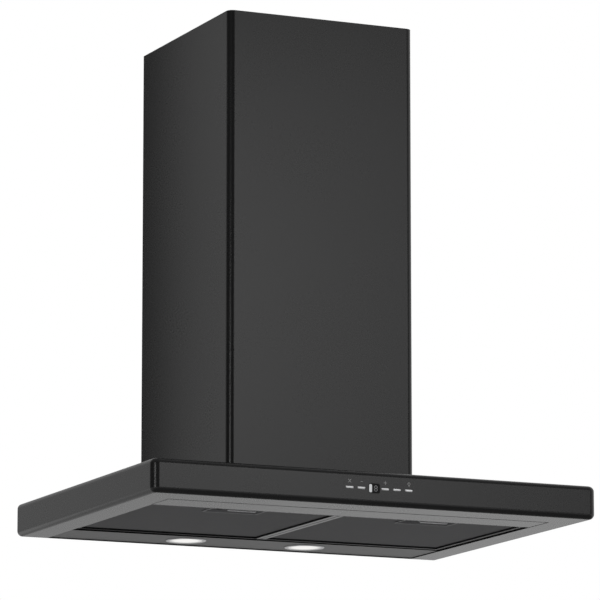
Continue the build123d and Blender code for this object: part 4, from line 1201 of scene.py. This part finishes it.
@dataclass
class GreaseFilter(Assembly):
    """One grease filter: a rolled frame, two layers of expanded mesh and its latch."""

    side: str
    border: float = 6.5 * MM
    border_drop: float = 1.2 * MM
    edge_radius: float = 0.8 * MM
    frame_ease: float = 0.08 * MM
    tab_width: float = 14.0 * MM
    tab_corner: float = 2.0 * MM
    tab_rise: float = 2.5 * MM
    tab_thickness: float = 2.0 * MM
    tab_reach: float = 7.0 * MM
    mitre_share: float = 1.6
    mitre_width: float = 0.3 * MM
    mitre_depth: float = 0.25 * MM
    cell_width: float = 6.0 * MM
    cell_depth: float = 3.2 * MM
    strand_width: float = 0.62 * MM
    strand_height: float = 0.75 * MM
    strand_lean: float = -28.0
    strand_end: float = 0.8
    backing_scale: float = 1.7
    backing_drop: float = 3.6 * MM
    mesh_margin: float = 2.0 * MM
    mesh_smooth: float = 10.0
    housing_wall: float = 1.2 * MM
    housing_corner: float = 2.4 * MM
    housing_ease: float = 0.15 * MM
    rim_width: float = 1.6 * MM
    rim_height: float = 0.5 * MM
    passage_depth: float = 2.2 * MM
    passage_rise: float = 0.2 * MM
    grip_width: float = 38.0 * MM
    grip_offset: float = 10.0 * MM
    grip_rear_ledge: float = 4.0 * MM
    grip_thickness: float = 4.0 * MM
    grip_corner: float = 1.2 * MM
    grip_edge: float = 0.8 * MM
    grip_root: float = 0.4 * MM
    plate_height: float = 1.6 * MM
    plate_corner: float = 1.5 * MM
    bolt_width: float = 24.0 * MM
    bolt_play: float = 0.3 * MM
    slider_depth: float = 24.0 * MM
    slider_travel: float = 4.0 * MM
    slider_ease: float = 0.1 * MM
    wire_radius: float = 0.3 * MM
    wire_sides: int = 10
    spring_turns: int = 5
    turn_steps: int = 24
    spring_smooth: float = 60.0

    def build(self) -> None:
        """Builds the frame, its mesh and its latch."""
        self.body = f"filter_{self.side}"
        self.low, self.high = node_box(f"filter_frame_{self.side}")
        self.latch_low, self.latch_high = node_box(f"latch_housing_{self.side}")
        self.build_frame()
        self.build_mesh()
        self.build_housing()
        self.build_slider()
        self.build_spring()

    def build_frame(self) -> None:
        """Rolls the frame: a channel of sheet, open inwards, with a border above and below."""
        low = self.low - Vector((0, 0, self.border_drop))
        high = self.high - Vector((0, self.tab_reach, 0))
        rim = start_block(low, high, f"filter_border_{self.side}")
        round_edges(rim, self.edge_radius, edges(z=low.z))
        for facing, inset in ((-1, self.border - self.edge_radius), (1, self.border)):
            with picked(rim, Element.FACE, lambda _, normal: normal.z * facing > STRAIGHT):
                bpy.ops.mesh.inset(thickness=inset)
                bpy.ops.mesh.delete(type="FACE")
        thicken(rim)
        base = self.low.z + self.tab_rise
        reach, tall = (high.y - SHEET, self.high.y), (base, base + self.tab_thickness)
        tabs = []
        for x in tab_places(self.side):
            tab = start_span(about(x, self.tab_width), reach, tall)
            round_edges(tab, self.tab_corner, edges(Axis.Z, y=self.high.y))
            tabs.append(tab)
        cut(rim, *self.mitre_cutters(low, high))
        gather(rim, *tabs)
        ease_edges(rim, self.frame_ease)
        self.hand_over(rim, self.body, "filter_border", f"filter_frame_{self.side}")

    def mitre_cutters(self, low: Vector, high: Vector) -> list[Piece]:
        """Makes thin cutters along the four mitred corners of the lower border.

        Args:
            low: the frame's lowest corner.
            high: its highest corner, without the tabs.

        Returns:
            The four cutters.
        """
        half = self.border / 2
        return [
            start_bar(
                (x + x_way * half, y + y_way * half, low.z),
                (self.mitre_share * self.border, self.mitre_width, 2 * self.mitre_depth),
                (0, 0, math.radians(45 * x_way * y_way)),
            )
            for x, x_way in ((low.x, 1), (high.x, -1))
            for y, y_way in ((low.y, 1), (high.y, -1))
        ]

    def build_mesh(self) -> None:
        """Weaves two layers of expanded mesh, the finer one below."""
        node = f"filter_mesh_{self.side}"
        low, high = node_box(node)
        face = self.expand(low, high, low.z + self.strand_height / 2, 1.0)
        gather(face, self.expand(low, high, low.z + self.backing_drop, self.backing_scale))
        face.name = f"filter_mesh_fine_{self.side}"
        self.hand_over(face, self.body, "filter_mesh", node, smooth=self.mesh_smooth)

    def expand(self, low: Vector, high: Vector, level: float, scale: float) -> Piece:
        """Expands one sheet into diamonds: four strands to a cell, repeated both ways.

        Args:
            low: the lowest corner of the space that the mesh fills.
            high: its highest corner.
            level: the layer's middle height.
            scale: how much coarser it is than the finest layer.

        Returns:
            The layer, cut away over the latch.
        """
        width, depth = scale * self.cell_width, scale * self.cell_depth
        columns = int((high.x - low.x - 2 * self.mesh_margin) // width)
        rows = int((high.y - low.y - 2 * self.mesh_margin) // depth)
        start_x = (low.x + high.x) / 2 - columns * width / 2
        start_y = (low.y + high.y) / 2 - rows * depth / 2
        turn = math.atan2(depth, width)
        length = math.hypot(width / 2, depth / 2) + self.strand_width / 2
        strands = []
        for column, row, way in ((0, 0, 1), (1, 0, -1), (0, 1, -1), (1, 1, 1)):
            strand = start_bar(
                (start_x + (column + 0.5) * width / 2, start_y + (row + 0.5) * depth / 2, level),
                (length, self.strand_width, self.strand_height),
                (math.radians(self.strand_lean), 0, way * turn),
            )
            remove_faces(strand, lambda _, normal: abs(normal.x) > self.strand_end)
            strands.append(strand)
        gather(*strands)
        layer = strands[0]
        for count, step in ((columns, (width, 0, 0)), (rows, (0, depth, 0))):
            use_modifier(
                layer,
                "ARRAY",
                count=count,
                use_relative_offset=False,
                use_constant_offset=True,
                constant_offset_displace=step,
            )
        left, right, rear = self.latch_low.x, self.latch_high.x, self.latch_high.y
        remove_faces(layer, lambda centre, _: left < centre.x < right and centre.y < rear)
        return layer

    def build_housing(self) -> None:
        """Moulds the latch's recess, with a thin rim that lies over the cut mesh."""
        low, high, wall, rim = self.latch_low, self.latch_high, self.housing_wall, self.rim_width
        ceiling = high.z - wall
        housing = start_block(low, high, f"latch_recess_{self.side}")
        round_edges(housing, self.housing_corner, edges(Axis.Z), flats=5)
        collar = start_block(
            (low.x - rim, low.y, low.z), (high.x + rim, high.y + rim, low.z + self.rim_height)
        )
        round_edges(collar, self.housing_corner, edges(Axis.Z, y=high.y + rim), flats=5)
        weld(housing, collar)
        hollow = start_block(
            (low.x + wall, low.y + wall, low.z - SHEET), (high.x - wall, high.y - wall, ceiling)
        )
        round_edges(hollow, wall, edges(Axis.Z))
        passage = start_span(
            about((low.x + high.x) / 2, self.bolt_width + 2 * self.bolt_play),
            (low.y - SHEET, low.y + 2 * SHEET),
            (ceiling - self.passage_depth, ceiling + self.passage_rise),
        )
        cut(housing, hollow, passage)
        ease_edges(housing, self.housing_ease)
        self.hand_over(housing, self.body, "latch_plastic", f"latch_housing_{self.side}")

    def build_slider(self) -> None:
        """Makes the sliding latch: its plate, its bolt and the grip that a finger pulls."""
        node = f"latch_slider_{self.side}"
        low, high = node_box(node)
        centre_x = (low.x + high.x) / 2
        plate_low = high.z - self.plate_height
        plate_front = high.y - self.slider_depth
        plate = start_block((low.x, plate_front, plate_low), high, f"latch_bar_{self.side}")
        round_edges(plate, self.plate_corner, edges(Axis.Z))
        depth = (low.y, plate_front + SHEET)
        bolt = start_span(about(centre_x, self.bolt_width), depth, (plate_low, high.z))
        grip_rear = high.y - self.grip_rear_ledge
        grip = start_span(
            about(centre_x + self.grip_offset, self.grip_width),
            (grip_rear - self.grip_thickness, grip_rear),
            (low.z, plate_low + self.grip_root),
        )
        round_edges(grip, self.grip_corner, edges(Axis.Z), flats=5)
        round_edges(grip, self.grip_edge, edges(z=low.z))
        weld(plate, bolt, grip)
        ease_edges(plate, self.slider_ease)
        self.hand_over(plate, f"latch_{self.side}", "latch_grip", node)

    def build_spring(self) -> None:
        """Winds the latch's spring, which shortens towards the rear as the latch is pulled."""
        node = f"latch_spring_{self.side}"
        low, high = node_box(node)
        coil_radius = (high.x - low.x) / 2 - self.wire_radius
        length = high.y - low.y
        take_up()
        bpy.ops.mesh.primitive_circle_add(
            vertices=self.wire_sides, radius=self.wire_radius, location=(coil_radius, 0, 0)
        )
        spring = settle(bpy.context.active_object)
        spring.name = f"latch_coil_{self.side}"
        use_modifier(
            spring,
            "SCREW",
            axis="Y",
            angle=math.tau,
            screw_offset=(length - 2 * self.wire_radius) / self.spring_turns,
            iterations=self.spring_turns,
            steps=self.turn_steps,
            render_steps=self.turn_steps,
        )
        with picked(spring, Element.FACE, lambda *_: True):
            bpy.ops.mesh.fill_holes(sides=0)
            bpy.ops.mesh.select_all(action="SELECT")
            bpy.ops.mesh.normals_make_consistent(inside=False)
        centre = (low + high) / 2
        spring.location = (centre.x, low.y + self.wire_radius, centre.z)
        settle(spring)
        self.hand_over(spring, self.body, "spring_steel", node, smooth=self.spring_smooth)
        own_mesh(spring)


# ---------------------------------------------------------------- lamps


@dataclass
class DownLight(Assembly):
    """One lamp as it shows from below: a thin metal bezel and a frosted lens."""

    side: str
    flange: float = 0.8 * MM
    flange_rim: float = 0.45 * MM
    sleeve_radius: float = 22.8 * MM
    bore_radius: float = 21.6 * MM
    lens_ring: float = 1.0 * MM
    lens_rings: int = 3
    lens_ease: float = 0.3 * MM

    def build(self) -> None:
        """Turns the bezel and the lens."""
        node = f"lamp_bezel_{self.side}"
        low, high = node_box(node)
        centre, height = (low + high) / 2, high.z - low.z
        foot = Vector((centre.x, centre.y, low.z + self.flange / 2))
        radius = (high.x - low.x) / 2
        ring = start_round(foot, radius, self.flange, name=f"lamp_ring_{self.side}")
        round_edges(ring, self.flange_rim, edges(z=low.z))
        weld(ring, start_round(centre, self.sleeve_radius, height))
        cut(ring, start_round(centre, self.bore_radius, 2 * height))
        ease_edges(ring)
        self.hand_over(ring, "hood", "lamp_metal", node)
        node = f"lamp_lens_{self.side}"
        low, high = node_box(node)
        middle, radius, height = (low + high) / 2, (high.x - low.x) / 2, high.z - low.z
        lens = start_round(middle, radius, height, name=f"lamp_glass_{self.side}")
        with picked(lens, Element.FACE, lambda _, normal: normal.z < -STRAIGHT):
            for _ in range(self.lens_rings):
                bpy.ops.mesh.inset(thickness=self.lens_ring)
        ease_edges(lens, self.lens_ease)
        lit = LitLens(centre=centre, radius=self.bore_radius)
        glow = lit.make(f"lit_lens_{self.side}_finish")
        self.hand_over(lens, "hood", "lamp_glass", node, finish=glow)


# ---------------------------------------------------------------- studio


@dataclass(frozen=True)
class Panel:
    """One soft light panel: where it stands, what it faces, its size, power and name."""

    name: str
    place: Triple
    aim: Triple
    size: Pair
    watts: float

    def hang(self) -> None:
        """Hangs the panel. It lights the object and isn't seen itself."""
        data = bpy.data.lights.new(self.name, "AREA")
        data.shape = "RECTANGLE"
        data.size, data.size_y = self.size
        data.energy = self.watts
        lamp = bpy.data.objects.new(self.name, data)
        bpy.context.scene.collection.objects.link(lamp)
        lamp.location = self.place
        way = Vector(self.aim) - Vector(self.place)
        lamp.rotation_euler = way.to_track_quat("-Z", "Y").to_euler()
        lamp.visible_camera = False


PANELS = (
    Panel("front_panel", (1.28, -3.42, 0.8), (0.0, -0.28, 0.3), (1.4, 1.6), 7.9),
    Panel("front_spot", (1.0, -3.4, 0.85), (0.0, -0.28, 0.3), (0.6, 1.0), 1.9),
    Panel("left_strip", (-2.15, -2.05, 0.1), (-0.2, -0.37, 0.1), (0.45, 1.0), 6.8),
    Panel("rear_card", (-0.65, 0.3, 0.35), (-0.65, -1.0, 0.35), (0.7, 1.0), 0.88),
)


@dataclass
class Studio:
    """The pale floor, the white surroundings, the light panels and the camera."""

    floor_level: float = -1.05
    floor_size: float = 16.0
    floor_tone: Triple = (0.8, 0.8, 0.8)
    floor_tone_change: float = 0.03
    floor_gloss: float = 0.7
    # Painted reflection on the floor: glossy rays see a dim pool of painted shade round this
    # centre, lighter beyond it and towards the right.
    shade_pool_centre: Triple = (0.5, -1.0, 0.0)
    shade_pool_span: Pair = (1.4, 3.3)
    pool_light: Pair = (0.14, 0.43)
    right_span: Pair = (1.7, 3.2)
    right_light: Pair = (0.0, 0.47)
    ambient: float = 0.75
    backdrop: float = 1.0
    glow_way: Triple = (0.9, 0.44, 0.0)
    glow_span: Pair = (0.15, 0.8)
    glow_light: Pair = (0.05, 0.75)
    overhead_span: Pair = (0.3, 0.8)
    overhead_light: Pair = (0.0, 0.15)
    camera_distance: float = 5.9426
    camera_heading: float = 24.427
    camera_pitch: float = 10.392
    camera_aim: Triple = (-0.0044, -0.225, 0.2926)
    camera_reach: float = 100.0
    lens: float = 279.7
    sensor: float = 36.0

    def build(self) -> None:
        """Builds the studio around the object."""
        self.build_floor()
        self.build_surroundings()
        for panel in PANELS:
            panel.hang()
        self.build_camera()

    def build_floor(self) -> None:
        """Lays the floor, which shows from above only and mirrors as a light of its own: a painted
        reflection, dim in a pool of painted shade near the hood and brighter far off and to the
        right.
        """
        take_up()
        bpy.ops.mesh.primitive_plane_add(size=self.floor_size, location=(0, 0, self.floor_level))
        floor = bpy.context.active_object
        floor.name = "studio_floor"
        recipe = Recipe("studio_floor_finish")
        tree, place = recipe.tree, recipe.place
        own = {"Tone": (*self.floor_tone, 1.0), "Gloss": self.floor_gloss}
        recipe.coat(GRAIN, {**own, "Tone Change": self.floor_tone_change})
        # Painted reflection: a pool of painted shade near the hood and a brighter right side, seen
        # only by glossy rays.
        reach = recipe.add(
            "ShaderNodeVectorMath", {0: place, 1: self.shade_pool_centre}, operation="DISTANCE"
        )
        shade_pool = smooth_step(tree, reach.outputs["Value"], self.shade_pool_span, self.pool_light)
        across = recipe.add("ShaderNodeSeparateXYZ", {"Vector": place}).outputs["X"]
        right = smooth_step(tree, across, self.right_span, self.right_light)
        mirrored = recipe.add("ShaderNodeEmission", {"Strength": maths(tree, "ADD", shade_pool, right)})
        rays = recipe.add("ShaderNodeLightPath").outputs
        clear = recipe.add("ShaderNodeBsdfTransparent").outputs["BSDF"]
        behind = recipe.add("ShaderNodeNewGeometry").outputs["Backfacing"]
        base, lit = recipe.shader.outputs["BSDF"], mirrored.outputs["Emission"]
        seen = mix_shaders(tree, rays["Is Glossy Ray"], base, lit)
        surface = mix_shaders(tree, behind, seen, clear)
        feed(tree, tree.nodes["Material Output"], {"Surface": surface})
        floor.data.materials.append(recipe.material)

    def build_surroundings(self) -> None:
        """Lights the room softly. The camera sees it white, and gloss sees it lit from one side."""
        world = bpy.data.worlds.new("studio_room")
        bpy.context.scene.world = world
        world.use_nodes = True
        tree = world.node_tree
        way = add_node(tree, "ShaderNodeTexCoord").outputs["Generated"]
        feeds = {0: way, 1: self.glow_way}
        side = add_node(tree, "ShaderNodeVectorMath", feeds, operation="DOT_PRODUCT")
        glow = smooth_step(tree, side.outputs["Value"], self.glow_span, self.glow_light)
        upwards = add_node(tree, "ShaderNodeSeparateXYZ", {"Vector": way}).outputs["Z"]
        overhead = smooth_step(tree, upwards, self.overhead_span, self.overhead_light)
        gloss = maths(tree, "ADD", glow, overhead)
        soft, mirrored, white = (
            add_node(tree, "ShaderNodeBackground", {"Color": WHITE, "Strength": level}).outputs[0]
            for level in (self.ambient, gloss, self.backdrop)
        )
        rays = add_node(tree, "ShaderNodeLightPath").outputs
        room = mix_shaders(tree, rays["Is Glossy Ray"], soft, mirrored)
        room = mix_shaders(tree, rays["Is Transmission Ray"], room, white)
        room = mix_shaders(tree, rays["Is Camera Ray"], room, white)
        feed(tree, tree.nodes["World Output"], {"Surface": room})

    def build_camera(self) -> None:
        """Sets the camera low and to the left of the front, looking up a little."""
        data = bpy.data.cameras.new("studio_camera")
        data.lens = self.lens
        data.sensor_width = self.sensor
        data.clip_end = self.camera_reach
        camera = bpy.data.objects.new("studio_camera", data)
        bpy.context.scene.collection.objects.link(camera)
        heading, pitch = math.radians(self.camera_heading), math.radians(self.camera_pitch)
        level = math.cos(pitch)
        way = Vector((math.sin(heading) * level, math.cos(heading) * level, math.sin(pitch)))
        camera.location = Vector(self.camera_aim) - self.camera_distance * way
        camera.rotation_euler = way.to_track_quat("-Z", "Y").to_euler()
        bpy.context.scene.camera = camera
        bpy.context.scene.view_settings.view_transform = "Standard"


def main() -> None:
    """Builds the finishes, the hood's sub-assemblies and the studio, in that order."""
    logging.basicConfig(level=logging.INFO, format="%(name)s: %(message)s")
    palette = Palette()
    palette.dress_cad_nodes()
    Canopy(palette).build()
    ControlStrip(palette).build()
    Chimney(palette).build()
    for side in SIDES:
        GreaseFilter(palette, side).build()
        DownLight(palette, side).build()
    Studio().build()


if __name__ == "__main__":
    main()
